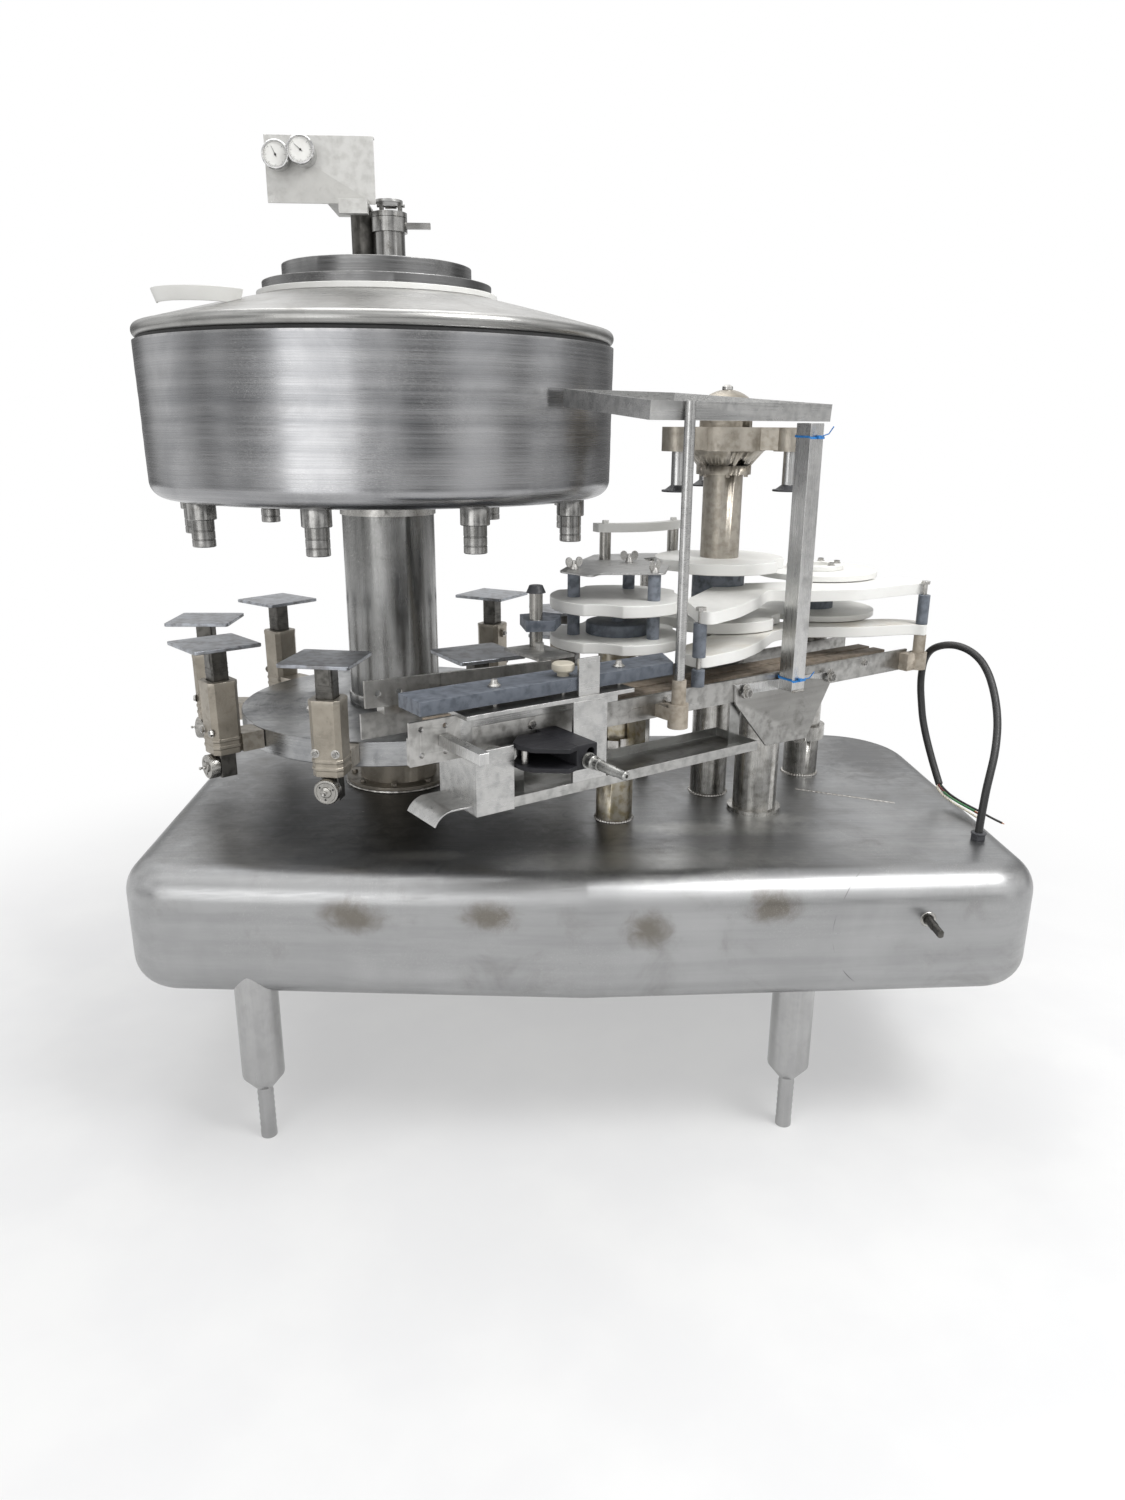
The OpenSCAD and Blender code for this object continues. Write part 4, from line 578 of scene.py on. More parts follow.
@dataclass(frozen=True)
class Finish:
    """One finish of the machine, from its colours, grain and wear."""

    name: str
    colour: Vec3
    second: Vec3
    dirt: Vec3 = (0.05, 0.045, 0.035)
    bare: Vec3 = (0.75, 0.74, 0.72)
    metallic: float = 1.0
    roughness: float = 0.34
    rough_swing: float = 0.16
    grain: Grain = Grain.ALONG_X
    centre: Vec3 = (0.0, 0.0, 0.0)
    fineness: float = 420.0
    relief: float = 0.00012
    patch_scale: float = 6.0
    patch_share: float = 0.5
    dirt_share: float = 0.35
    settled: float = 0.3
    settled_scale: float = 9.0
    worn: float = 0.35
    scratched: float = 0.3
    specular: float = 0.5
    stretch: float = 40.0

    def material(self) -> bpy.types.Material:
        """The finish as a material, built on first use.

        Returns:
            The material.
        """
        known = bpy.data.materials.get(self.name)
        if known is not None:
            return known
        made = bpy.data.materials.new(self.name)
        made.use_nodes = True
        board = Board(made.node_tree)
        out = board.add("ShaderNodeOutputMaterial")
        shader = board.add("ShaderNodeBsdfPrincipled")
        board.put(shader.outputs[0], out.inputs[0])
        shader.inputs["Metallic"].default_value = self.metallic
        shader.inputs["Specular IOR Level"].default_value = self.specular
        self.wire(board, shader)
        return made

    def lines(self, board: Board, place: bpy.types.NodeSocket) -> bpy.types.Node:
        """The grain's node: fine and broad values for the way the surface was worked."""
        if self.grain is Grain.TURNED:
            shift = board.add("ShaderNodeMapping", {"Vector": place})
            shift.inputs["Location"].default_value = tuple(-c for c in self.centre)
            return board.group("turned_marks", {"Vector": shift.outputs[0], "Fineness": self.fineness})
        thin = 1.0 / self.stretch
        squeeze = {Grain.ALONG_X: (thin, 1.0, 1.0), Grain.ALONG_LINE: (thin, 1.0, 1.0),
                   Grain.UPRIGHT: (1.0, 1.0, thin), Grain.CAST: (1.0, 1.0, 1.0)}[self.grain]
        if self.grain is Grain.ALONG_LINE:
            place = board.add("ShaderNodeVectorRotate", {"Vector": place, "Angle": -math.radians(LINE_TURN)},
                              rotation_type="Z_AXIS").outputs[0]
        squeezed = board.add("ShaderNodeVectorMath", {0: place, 1: squeeze}, operation="MULTIPLY")
        return board.group("brushed_lines", {"Vector": squeezed.outputs[0], "Fineness": self.fineness})

    def stains(self, board: Board, place: bpy.types.NodeSocket,
               tint: bpy.types.NodeSocket) -> bpy.types.NodeSocket:
        """Marks at fixed places, which a plain finish has none of."""
        return tint

    def wire(self, board: Board, shader: bpy.types.Node) -> None:
        """Wires colour, roughness and relief.

        The first colour gives way to the second in patches and along broad grain lines, then
        to dirt in patches and on upward faces (on the greyed white plastic also a painted shade),
        then to bare metal on edges and scratches.

        Args:
            board: the material's board.
            shader: its Principled node.
        """
        place = board.add("ShaderNodeTexCoord").outputs["Object"]
        grain = self.lines(board, place)
        broad = board.ramp(grain.outputs[1], 0.3, 0.7)
        patches = board.group("blotches", {"Vector": place, "Scale": self.patch_scale, "Low": 0.36, "High": 0.66})
        shade = board.sum("ADD", board.sum("MULTIPLY", broad, 0.5), board.sum("MULTIPLY", patches.outputs[0], 0.5))
        tint = board.mix(board.sum("MULTIPLY", shade, self.patch_share * 2.0), self.colour + (1.0,),
                         self.second + (1.0,))
        tint = self.stains(board, place, tint)
        soiled = board.group("blotches", {"Vector": place, "Scale": self.patch_scale * 2.7, "Low": 0.52,
                                          "High": 0.74})
        lying = board.group("settled_dirt_and_shade", {"Vector": place, "Scale": self.settled_scale})
        soil_and_shade = board.sum("MINIMUM", 1.0, board.sum(
            "ADD", board.sum("MULTIPLY", soiled.outputs[0], self.dirt_share),
            board.sum("MULTIPLY", lying.outputs[0], self.settled)))
        tint = board.mix(soil_and_shade, tint, self.dirt + (1.0,))
        worn = board.group("worn_edges", {"Vector": place, "Amount": self.worn})
        cut = board.group("scratches", {"Vector": place, "Scale": 16.0})
        bared = board.sum("MAXIMUM", worn.outputs[0], board.sum("MULTIPLY", cut.outputs[0], self.scratched))
        tint = board.mix(bared, tint, self.bare + (1.0,))
        board.put(tint, shader.inputs["Base Color"])
        swing = board.sum("MULTIPLY", board.sum("SUBTRACT", grain.outputs[0], 0.5), self.rough_swing * 2.0)
        rough = board.sum("ADD", board.sum("ADD", self.roughness, swing), board.sum("MULTIPLY", soil_and_shade, 0.25))
        board.put(board.sum("MAXIMUM", 0.06, board.sum("MINIMUM", 0.95, rough)), shader.inputs["Roughness"])
        lift = board.sum("SUBTRACT", grain.outputs[0], board.sum("MULTIPLY", cut.outputs[0], self.scratched * 0.6))
        bump = board.add("ShaderNodeBump", {"Height": lift, "Strength": 1.0, "Distance": self.relief})
        board.put(bump.outputs[0], shader.inputs["Normal"])


@dataclass(frozen=True)
class BaseSteel(Finish):
    """Sheet steel of the base, with its own rubbed marks and scratched circle, and a painted shade over its top,
    painted shadows and painted highlights.
    """

    rubbed: tuple[tuple[Vec3, Vec3], ...] = (
        ((-0.350, -0.474, 0.556), (0.07, 0.08, 0.040)), ((-0.078, -0.495, 0.562), (0.062, 0.08, 0.036)),
        ((0.243, -0.507, 0.533), (0.055, 0.08, 0.050)), ((0.492, -0.500, 0.579), (0.060, 0.08, 0.040)))
    # Painted shadows: dark patches on the top under the bowl and the parts above it, each a centre and a size.
    painted_shadows: tuple[tuple[Vec3, Vec3], ...] = (
        ((-0.42, 0.08, 0.638), (0.50, 0.46, 0.05)), ((-0.10, -0.27, 0.638), (0.36, 0.17, 0.05)),
        ((0.93, 0.30, 0.638), (0.16, 0.28, 0.05)), ((0.30, 0.25, 0.638), (0.5, 0.30, 0.05)))
    # Painted highlights: pale patches along the upper front edge and on the top before the posts, each a centre and
    # a size.
    bright: tuple[tuple[Vec3, Vec3], ...] = (
        ((0.24, -0.40, 0.63), (0.34, 0.08, 0.05)), ((-0.22, -0.36, 0.63), (0.10, 0.03, 0.05)),
        ((0.42, -0.22, 0.638), (0.22, 0.05, 0.05)), ((0.535, -0.16, 0.638), (0.12, 0.05, 0.05)))

    def stains(self, board: Board, place: bpy.types.NodeSocket,
               tint: bpy.types.NodeSocket) -> bpy.types.NodeSocket:
        """Adds a painted shade over the top, painted shadows on the top, painted highlights along the front edge
        and on the top, the four rubbed marks and the circle.

        Args:
            board: the material's board.
            place: where on the base.
            tint: the colour so far.

        Returns:
            The colour with the marks.
        """
        # Painted shade: the upward faces are darkened towards dark grey, more in blotches.
        up = board.add("ShaderNodeSeparateXYZ", {0: board.add("ShaderNodeNewGeometry").outputs["Normal"]})
        top = board.ramp(up.outputs[2], 0.75, 0.98)
        top_shade_blotches = board.group("blotches", {"Vector": place, "Scale": 3.2, "Low": 0.3, "High": 0.62})
        tint = board.mix(board.sum("MULTIPLY", top, board.sum("ADD", 0.25, board.sum(
            "MULTIPLY", top_shade_blotches.outputs[0], 0.35))), tint, (0.17, 0.175, 0.18, 1.0))
        # Painted shadows on the top.
        for where, size in self.painted_shadows:
            mark = board.group("patch", {"Vector": place, "Centre": where, "Size": size})
            tint = board.mix(board.sum("MULTIPLY", mark.outputs[0], board.sum("MULTIPLY", top, 0.7)), tint,
                             (0.06, 0.061, 0.063, 1.0))
        # Painted highlights along the front edge and on the top.
        for where, size in self.bright:
            mark = board.group("patch", {"Vector": place, "Centre": where, "Size": size})
            tint = board.mix(board.sum("MULTIPLY", mark.outputs[0], 0.55), tint, (0.62, 0.62, 0.60, 1.0))
        for where, size in self.rubbed:
            mark = board.group("patch", {"Vector": place, "Centre": where, "Size": size})
            tint = board.mix(board.sum("MULTIPLY", mark.outputs[0], 0.85), tint, (0.165, 0.148, 0.122, 1.0))
        circle = board.group("ring_mark", {"Vector": place, "Centre": (0.765, -0.493, 0.52), "Radius": 0.148})
        across = board.add("ShaderNodeSeparateXYZ", {0: place})
        arc = board.sum("MULTIPLY", circle.outputs[0], board.ramp(across.outputs[0], 0.655, 0.685, 0.75, 0.0))
        tint = board.mix(arc, tint, (0.09, 0.09, 0.085, 1.0))
        specks = board.ramp(board.noise(place, 140.0, 2.0, 0.7), 0.70, 0.76)
        gate = board.group("blotches", {"Vector": place, "Scale": 5.0, "Low": 0.5, "High": 0.62})
        flecks = board.sum("MULTIPLY", board.sum("MULTIPLY", specks, gate.outputs[0]), top)
        return board.mix(flecks, tint, (0.75, 0.75, 0.73, 1.0))


AT_TABLE = (TABLE[0], TABLE[1], 0.0)
BASE_STEEL = BaseSteel("base steel", (0.425, 0.427, 0.43), (0.335, 0.337, 0.34), dirt=(0.22, 0.215, 0.205),
                       roughness=0.36, fineness=260.0, relief=0.00008, patch_scale=3.0,
                       settled=0.25, worn=0.0, scratched=0.22, stretch=30.0)
PLAIN_STEEL = Finish("plain steel", (0.42, 0.42, 0.41), (0.30, 0.30, 0.29), grain=Grain.ALONG_LINE)
RAIL_STEEL = Finish("rail steel", (0.37, 0.365, 0.35), (0.25, 0.245, 0.235), dirt=(0.08, 0.075, 0.065),
                    grain=Grain.ALONG_LINE, patch_scale=9.0, dirt_share=0.5, settled=0.45)
TRAY_STEEL = Finish("tray steel", (0.46, 0.46, 0.455), (0.36, 0.36, 0.355), grain=Grain.ALONG_LINE,
                    roughness=0.30, dirt=(0.13, 0.13, 0.12), scratched=0.5)
MAST_STEEL = Finish("mast steel", (0.58, 0.58, 0.575), (0.46, 0.46, 0.455), grain=Grain.UPRIGHT, roughness=0.28,
                    scratched=0.5)
LEG_STEEL = Finish("leg steel", (0.46, 0.46, 0.46), (0.32, 0.32, 0.32), grain=Grain.UPRIGHT, roughness=0.20,
                   dirt=(0.13, 0.12, 0.10), patch_share=0.3, dirt_share=0.12, settled=0.1, worn=0.1,
                   scratched=0.15)
BOWL_STEEL = Finish("bowl steel", (0.42, 0.42, 0.427), (0.25, 0.253, 0.262), grain=Grain.TURNED, centre=AT_TABLE,
                    roughness=0.26, rough_swing=0.14, fineness=330.0, relief=0.0001, patch_share=0.55,
                    patch_scale=3.5, dirt_share=0.10, settled=0.2, scratched=0.35, worn=0.2)
LID_STEEL = Finish("lid steel", (0.38, 0.38, 0.37), (0.27, 0.265, 0.255), grain=Grain.TURNED, centre=AT_TABLE,
                   roughness=0.30, fineness=260.0, patch_scale=4.0, dirt=(0.13, 0.125, 0.115),
                   settled=0.35)
COVER_DARK = Finish("cover steel", (0.22, 0.22, 0.22), (0.14, 0.14, 0.14), grain=Grain.TURNED, centre=AT_TABLE,
                    roughness=0.30, fineness=260.0, settled=0.4, dirt=(0.05, 0.05, 0.048))
COLUMN_STEEL = Finish("column steel", (0.31, 0.31, 0.305), (0.20, 0.20, 0.195), grain=Grain.UPRIGHT, stretch=14.0,
                      fineness=120.0, roughness=0.24, patch_scale=7.0, patch_share=0.6, dirt=(0.07, 0.068, 0.062),
                      dirt_share=0.2)
DISC_STEEL = Finish("machined disc", (0.40, 0.405, 0.41), (0.26, 0.265, 0.275), grain=Grain.TURNED, centre=AT_TABLE,
                    roughness=0.30, dirt=(0.10, 0.105, 0.11), settled=0.7, settled_scale=5.0,
                    scratched=0.6, worn=0.5)
NOZZLE_STEEL = Finish("nozzle steel", (0.29, 0.287, 0.28), (0.18, 0.178, 0.17), grain=Grain.UPRIGHT, roughness=0.22,
                      dirt=(0.12, 0.105, 0.085), patch_scale=30.0)
SHAFT_DARK = Finish("dark shaft", (0.085, 0.082, 0.075), (0.05, 0.048, 0.045), grain=Grain.UPRIGHT,
                    dirt=(0.03, 0.028, 0.024), bare=(0.30, 0.29, 0.27), patch_scale=20.0, settled=0.2)
PLATFORM_STEEL = Finish("platform steel", (0.27, 0.272, 0.28), (0.19, 0.19, 0.195),
                        dirt=(0.11, 0.11, 0.11), settled=0.25, settled_scale=14.0,
                        bare=(0.50, 0.53, 0.58), worn=0.7, patch_scale=9.0)
CAST_TAN = Finish("tan casting", (0.33, 0.285, 0.225), (0.22, 0.19, 0.15), metallic=0.25, grain=Grain.CAST,
                  roughness=0.62, fineness=170.0, relief=0.0009, dirt=(0.10, 0.085, 0.065), dirt_share=0.55,
                  bare=(0.52, 0.47, 0.40), worn=0.5, scratched=0.15, patch_scale=18.0)
CAST_GREY = Finish("grey casting", (0.37, 0.335, 0.28), (0.26, 0.235, 0.195), metallic=0.7, grain=Grain.CAST,
                   roughness=0.38, fineness=210.0, relief=0.0004, dirt=(0.12, 0.11, 0.09), dirt_share=0.4,
                   patch_scale=12.0, bare=(0.62, 0.58, 0.52))
POST_STEEL = Finish("post steel", (0.42, 0.41, 0.385), (0.27, 0.262, 0.245), grain=Grain.UPRIGHT, roughness=0.27,
                    dirt=(0.13, 0.115, 0.085), patch_scale=10.0, patch_share=0.7)
POST_YELLOW = Finish("stained post steel", (0.36, 0.31, 0.20), (0.22, 0.185, 0.12), grain=Grain.UPRIGHT,
                     roughness=0.33, dirt=(0.14, 0.085, 0.035), patch_scale=14.0, dirt_share=0.6)
BOLT_STEEL = Finish("bolt steel", (0.52, 0.51, 0.49), (0.36, 0.35, 0.33), grain=Grain.CAST, roughness=0.3,
                    fineness=300.0, dirt=(0.13, 0.12, 0.10), patch_scale=60.0)
WELD_STEEL = Finish("weld bead", (0.45, 0.44, 0.42), (0.27, 0.25, 0.22), grain=Grain.CAST, roughness=0.32,
                    fineness=260.0, relief=0.0003, patch_scale=40.0)
CHAIN_BROWN = Finish("stained wear strip", (0.22, 0.175, 0.13), (0.13, 0.105, 0.08), metallic=0.0,
                     grain=Grain.ALONG_LINE, roughness=0.6, fineness=240.0, dirt=(0.05, 0.042, 0.035),
                     bare=(0.38, 0.33, 0.27), specular=0.35)
GEAR_IRON = Finish("gear iron", (0.20, 0.195, 0.185), (0.11, 0.105, 0.10), grain=Grain.CAST, roughness=0.42,
                   fineness=200.0, dirt=(0.045, 0.036, 0.025), dirt_share=0.6, bare=(0.5, 0.49, 0.47))
MOTOR_PAINT = Finish("motor paint", (0.11, 0.15, 0.175), (0.085, 0.12, 0.14), metallic=0.0, grain=Grain.CAST,
                     roughness=0.48, fineness=260.0, relief=0.0003, dirt=(0.05, 0.045, 0.04), bare=(0.4, 0.4, 0.4))
WHITE_PLASTIC = Finish("white plastic", (0.80, 0.80, 0.775), (0.74, 0.735, 0.70), metallic=0.0,
                       stretch=6.0, roughness=0.42, rough_swing=0.08, fineness=90.0, relief=0.00008,
                       dirt=(0.50, 0.47, 0.41), dirt_share=0.12, settled=0.10, bare=(0.86, 0.86, 0.85),
                       scratched=0.25, worn=0.1, specular=0.45, patch_scale=8.0)
CREAM_PLASTIC = replace(WHITE_PLASTIC, name="stained white plastic", dirt=(0.50, 0.42, 0.30), settled=0.42,
                        settled_scale=6.0, dirt_share=0.10)
# Partly dust and partly painted shade: its grey on upward faces also stands in for the shade over the white plates.
GREYED_PLASTIC = replace(WHITE_PLASTIC, name="greyed white plastic", dirt=(0.50, 0.49, 0.46), settled=0.35,
                         settled_scale=4.0, dirt_share=0.10)
SLATE_PLASTIC = Finish("slate plastic", (0.068, 0.080, 0.098), (0.050, 0.059, 0.073), metallic=0.0,
                       grain=Grain.ALONG_LINE, stretch=8.0, roughness=0.5, fineness=110.0, relief=0.0003,
                       dirt=(0.15, 0.16, 0.18), dirt_share=0.14, settled=0.06, bare=(0.36, 0.39, 0.45), worn=0.4,
                       scratched=0.6, specular=0.4, patch_scale=14.0)
SPACER_PLASTIC = replace(SLATE_PLASTIC, name="slate spacer plastic", grain=Grain.UPRIGHT,
                         colour=(0.075, 0.088, 0.105), second=(0.10, 0.115, 0.135), settled=0.1, worn=0.4,
                         scratched=0.4)
BLACK_PLASTIC = Finish("black plastic", (0.020, 0.021, 0.024), (0.032, 0.033, 0.038), metallic=0.0,
                       grain=Grain.ALONG_LINE, stretch=5.0, roughness=0.42, fineness=140.0, relief=0.0003,
                       dirt=(0.10, 0.10, 0.11), dirt_share=0.10, settled=0.18, settled_scale=22.0,
                       bare=(0.22, 0.22, 0.24), worn=0.2, scratched=0.35)
FORK_PLASTIC = replace(BLACK_PLASTIC, name="fork plastic", colour=(0.010, 0.010, 0.012),
                       second=(0.016, 0.016, 0.019), dirt=(0.030, 0.030, 0.033), dirt_share=0.15, settled=0.15,
                       bare=(0.07, 0.07, 0.08), worn=0.15, scratched=0.2, specular=0.3, roughness=0.5)
KNOB_TAN = replace(WHITE_PLASTIC, name="yellowed knob plastic", colour=(0.50, 0.46, 0.37),
                   second=(0.42, 0.385, 0.30), dirt=(0.25, 0.22, 0.17), dirt_share=0.3)
SCREW_STEEL = replace(BOLT_STEEL, name="screw steel", colour=(0.34, 0.34, 0.33), second=(0.20, 0.20, 0.19))
MOTTLED_BAR = replace(SHAFT_DARK, name="mottled bar", colour=(0.46, 0.455, 0.44), second=(0.27, 0.265, 0.25),
                      dirt=(0.14, 0.135, 0.12), bare=(0.60, 0.59, 0.57), dirt_share=0.6, worn=0.6, settled=0.4)
PANEL_STEEL = Finish("panel sheet", (0.56, 0.555, 0.53), (0.46, 0.455, 0.435), metallic=0.35,
                     stretch=4.0, roughness=0.42, fineness=60.0, dirt=(0.28, 0.27, 0.25),
                     scratched=1.0, bare=(0.80, 0.80, 0.78), patch_scale=16.0)
CHROME = Finish("gauge chrome", (0.60, 0.60, 0.60), (0.45, 0.45, 0.45), grain=Grain.CAST, roughness=0.12,
                rough_swing=0.05, fineness=300.0, relief=0.00005, dirt=(0.12, 0.12, 0.12), patch_scale=30.0)
DIAL_WHITE = Finish("dial card", (0.80, 0.80, 0.77), (0.74, 0.73, 0.70), metallic=0.0, grain=Grain.CAST,
                    roughness=0.55, fineness=500.0, relief=0.00003, dirt=(0.5, 0.48, 0.42), dirt_share=0.15,
                    worn=0.0, scratched=0.0, patch_scale=60.0)
DIAL_BLACK = Finish("dial ink", (0.02, 0.02, 0.02), (0.03, 0.03, 0.03), metallic=0.0, grain=Grain.CAST,
                    roughness=0.6, fineness=500.0, relief=0.00002, worn=0.0, scratched=0.0)
SEAL_BLACK = Finish("seal rubber", (0.014, 0.014, 0.014), (0.022, 0.022, 0.022), metallic=0.0, grain=Grain.CAST,
                    roughness=0.6, fineness=300.0, relief=0.0002, dirt=(0.08, 0.075, 0.07), dirt_share=0.25,
                    bare=(0.05, 0.05, 0.05), worn=0.1, scratched=0.0)
CABLE_RUBBER = replace(SEAL_BLACK, name="cable rubber", roughness=0.46, dirt=(0.10, 0.095, 0.09), dirt_share=0.3)
TIE_BLUE = Finish("blue cable tie", (0.015, 0.20, 0.55), (0.02, 0.16, 0.45), metallic=0.0, grain=Grain.CAST,
                  roughness=0.4, fineness=300.0, relief=0.0001, dirt=(0.1, 0.15, 0.2), worn=0.0, scratched=0.0)
WIRE_RED = Finish("maroon insulation", (0.16, 0.03, 0.03), (0.11, 0.02, 0.02), metallic=0.0, grain=Grain.CAST,
                  roughness=0.45, fineness=300.0, relief=0.0001, worn=0.0, scratched=0.0)
WIRE_WHITE = replace(WIRE_RED, name="white insulation", colour=(0.70, 0.66, 0.55), second=(0.60, 0.56, 0.46),
                     dirt=(0.35, 0.3, 0.2))
WIRE_GREEN = replace(WIRE_RED, name="green insulation", colour=(0.05, 0.22, 0.08), second=(0.04, 0.16, 0.06))
WIRE_BLACK = replace(WIRE_RED, name="black insulation", colour=(0.02, 0.02, 0.02), second=(0.03, 0.03, 0.03))
COPPER = Finish("copper strand", (0.70, 0.30, 0.14), (0.55, 0.22, 0.10), grain=Grain.CAST, roughness=0.35,
                fineness=500.0, dirt=(0.2, 0.1, 0.05), worn=0.0, scratched=0.0)


# Making pieces


@dataclass(frozen=True)
class Edge:
    """How a piece's hard edges are softened, and how sharp an edge stays hard."""

    width: float = 0.0
    segments: int = 2
    hard: float = 32.0


NO_EDGE = Edge()
FINE = Edge(0.0007)
SMALL = Edge(0.0012)
SHEET = Edge(0.0016)


def dress(obj: bpy.types.Object, finish: Finish, edge: Edge, body: str,
          replaced: tuple[str, ...]) -> bpy.types.Object:
    """Gives a mesh its finish, soft edges and place in the machine.

    Args:
        obj: the new object, with its mesh.
        finish: what it is made of.
        edge: how its edges are softened.
        body: the body that it rides on.
        replaced: the solids that it stands for.

    Returns:
        The object.
    """
    mesh = obj.data
    mesh.materials.clear()
    mesh.materials.append(finish.material())
    mesh.polygons.foreach_set("use_smooth", np.ones(len(mesh.polygons), bool))
    mesh.set_sharp_from_angle(angle=math.radians(edge.hard))
    if edge.width > 0:
        bevel = obj.modifiers.new("soft edges", "BEVEL")
        bevel.width = edge.width
        bevel.segments = edge.segments
        bevel.limit_method = "ANGLE"
        bevel.angle_limit = math.radians(edge.hard)
        bevel.harden_normals = True
    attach(obj, body)
    if replaced:
        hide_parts(*replaced)
    LOG.info("%s: %d faces, %s, rides on %s", obj.name, len(mesh.polygons), finish.name, body)
    return obj


def make(name: str, surface: Surface, finish: Finish, body: str = "root", edge: Edge = NO_EDGE,
         replaced: tuple[str, ...] = ()) -> bpy.types.Object:
    """Makes a piece of a worked-out surface, with its faces turned outwards.

    Args:
        name: the piece's name.
        surface: its points and faces.
        finish: what it is made of.
        body: the body that it rides on.
        edge: how its edges are softened.
        replaced: the solids that it stands for.

    Returns:
        The new object.
    """
    mesh = bpy.data.meshes.new(name)
    mesh.from_pydata(surface.points.tolist(), [], surface.faces)
    work = bmesh.new()
    work.from_mesh(mesh)
    bmesh.ops.recalc_face_normals(work, faces=work.faces)
    work.to_mesh(mesh)
    work.free()
    obj = bpy.data.objects.new(name, mesh)
    bpy.context.scene.collection.objects.link(obj)
    return dress(obj, finish, edge, body, replaced)


def refine(node: str, finish: Finish, edge: Edge = SMALL, name: str = "") -> bpy.types.Object:
    """A copy of a solid with its flat faces joined and its edges softened, which stands for it.

    Args:
        node: the solid's name.
        finish: what it is made of.
        edge: how its edges are softened.
        name: the piece's name, if not the solid's with _dressed.

    Returns:
        The new object.
    """
    mesh = NODES[node].data.copy()
    work = bmesh.new()
    work.from_mesh(mesh)
    bmesh.ops.remove_doubles(work, verts=work.verts, dist=2e-5)
    bmesh.ops.dissolve_limit(work, angle_limit=math.radians(1.0), verts=work.verts, edges=work.edges)
    work.to_mesh(mesh)
    work.free()
    obj = bpy.data.objects.new(name or node + "_dressed", mesh)
    bpy.context.scene.collection.objects.link(obj)
    return dress(obj, finish, edge, BODY_OF[node], (node,))


def paint(node: str, finish: Finish) -> None:
    """Gives a solid that stays as it is its finish."""
    mesh = NODES[node].data
    mesh.materials.clear()
    mesh.materials.append(finish.material())
    LOG.info("%s: kept, %s", node, finish.name)


def bore(obj: bpy.types.Object, cutter: Surface) -> None:
    """Cuts a surface's space out of a piece before its edges are softened.

    Args:
        obj: the piece.
        cutter: the closed surface to take away.
    """
    mesh = bpy.data.meshes.new("cutter")
    mesh.from_pydata(cutter.points.tolist(), [], cutter.faces)
    work = bmesh.new()
    work.from_mesh(mesh)
    bmesh.ops.recalc_face_normals(work, faces=work.faces)
    work.to_mesh(mesh)
    work.free()
    tool = bpy.data.objects.new("cutter", mesh)
    bpy.context.scene.collection.objects.link(tool)
    kept = [(m.name, m.type, m.width, m.segments, m.limit_method, m.angle_limit) for m in obj.modifiers]
    obj.modifiers.clear()
    cut = obj.modifiers.new("cut", "BOOLEAN")
    cut.operation = "DIFFERENCE"
    cut.solver = "EXACT"
    cut.object = tool
    bpy.context.view_layer.update()
    shaped = bpy.data.meshes.new_from_object(obj.evaluated_get(bpy.context.evaluated_depsgraph_get()))
    obj.modifiers.clear()
    old = obj.data
    obj.data = shaped
    shaped.name = old.name
    bpy.data.meshes.remove(old)
    bpy.data.objects.remove(tool)
    shaped.polygons.foreach_set("use_smooth", np.ones(len(shaped.polygons), bool))
    shaped.set_sharp_from_angle(angle=math.radians(32))
    for name, kind, width, segments, method, angle in kept:
        bevel = obj.modifiers.new(name, kind)
        bevel.width, bevel.segments, bevel.limit_method, bevel.angle_limit = width, segments, method, angle
        bevel.harden_normals = True


def zone(obj: bpy.types.Object, finish: Finish, low: Vec3 = (-9, -9, -9), high: Vec3 = (9, 9, 9),
         axis: Vec2 | None = None, reach: tuple[float, float] = (0.0, 9.0)) -> None:
    """Gives the faces of one region of a piece another finish.

    A face is in the region when its centre lies between low and high, and its distance
    from the standing axis lies within reach.

    Args:
        obj: the piece.
        finish: what the region is made of.
        low: the region's lower corner.
        high: the region's upper corner.
        axis: where a standing axis is, or None for no test of distance.
        reach: least and greatest distance from that axis.
    """
    mesh = obj.data
    mesh.materials.append(finish.material())
    count = len(mesh.polygons)
    centres, index = np.zeros(count * 3), np.zeros(count, np.int32)
    mesh.polygons.foreach_get("center", centres)
    mesh.polygons.foreach_get("material_index", index)
    centres = centres.reshape(-1, 3)
    inside = np.all((centres >= np.array(low)) & (centres <= np.array(high)), axis=1)
    if axis is not None:
        far = np.hypot(centres[:, 0] - axis[0], centres[:, 1] - axis[1])
        inside &= (far >= reach[0]) & (far <= reach[1])
    index[inside] = len(mesh.materials) - 1
    mesh.polygons.foreach_set("material_index", index)


def rounded(outline: list[Vec2] | np.ndarray, share: float, most: float, steps: int = 7) -> np.ndarray:
    """An outline whose corners are rounded.

    Each corner gives way to a quadratic arc that starts and ends on its two sides, a share
    of the side's length away but never more than most.

    Args:
        outline: the corners in order.
        share: share of a side that one corner may take.
        most: the longest cut in metres.
        steps: points on each arc.

    Returns:
        The rounded outline.
    """
    p = np.asarray(outline, float)
    before, after = np.roll(p, 1, 0) - p, np.roll(p, -1, 0) - p
    reach_b = np.minimum(share, most / np.linalg.norm(before, axis=1))[:, None]
    reach_a = np.minimum(share, most / np.linalg.norm(after, axis=1))[:, None]
    t = np.linspace(0, 1, steps)[None, :, None]
    start, end = (p + before * reach_b)[:, None], (p + after * reach_a)[:, None]
    arc = (1 - t) ** 2 * start + 2 * t * (1 - t) * p[:, None] + t**2 * end
    return arc.reshape(-1, 2)


def at_station(surface: Surface, i: int) -> Surface:
    """Puts a surface, drawn with X outwards from the platform's middle, at station i."""
    return surface.moved((PITCH_R, 0, 0)).moved((TABLE[0], TABLE[1], 0.0), FIRST_STATION + 360 / STATIONS * i)


# Studio


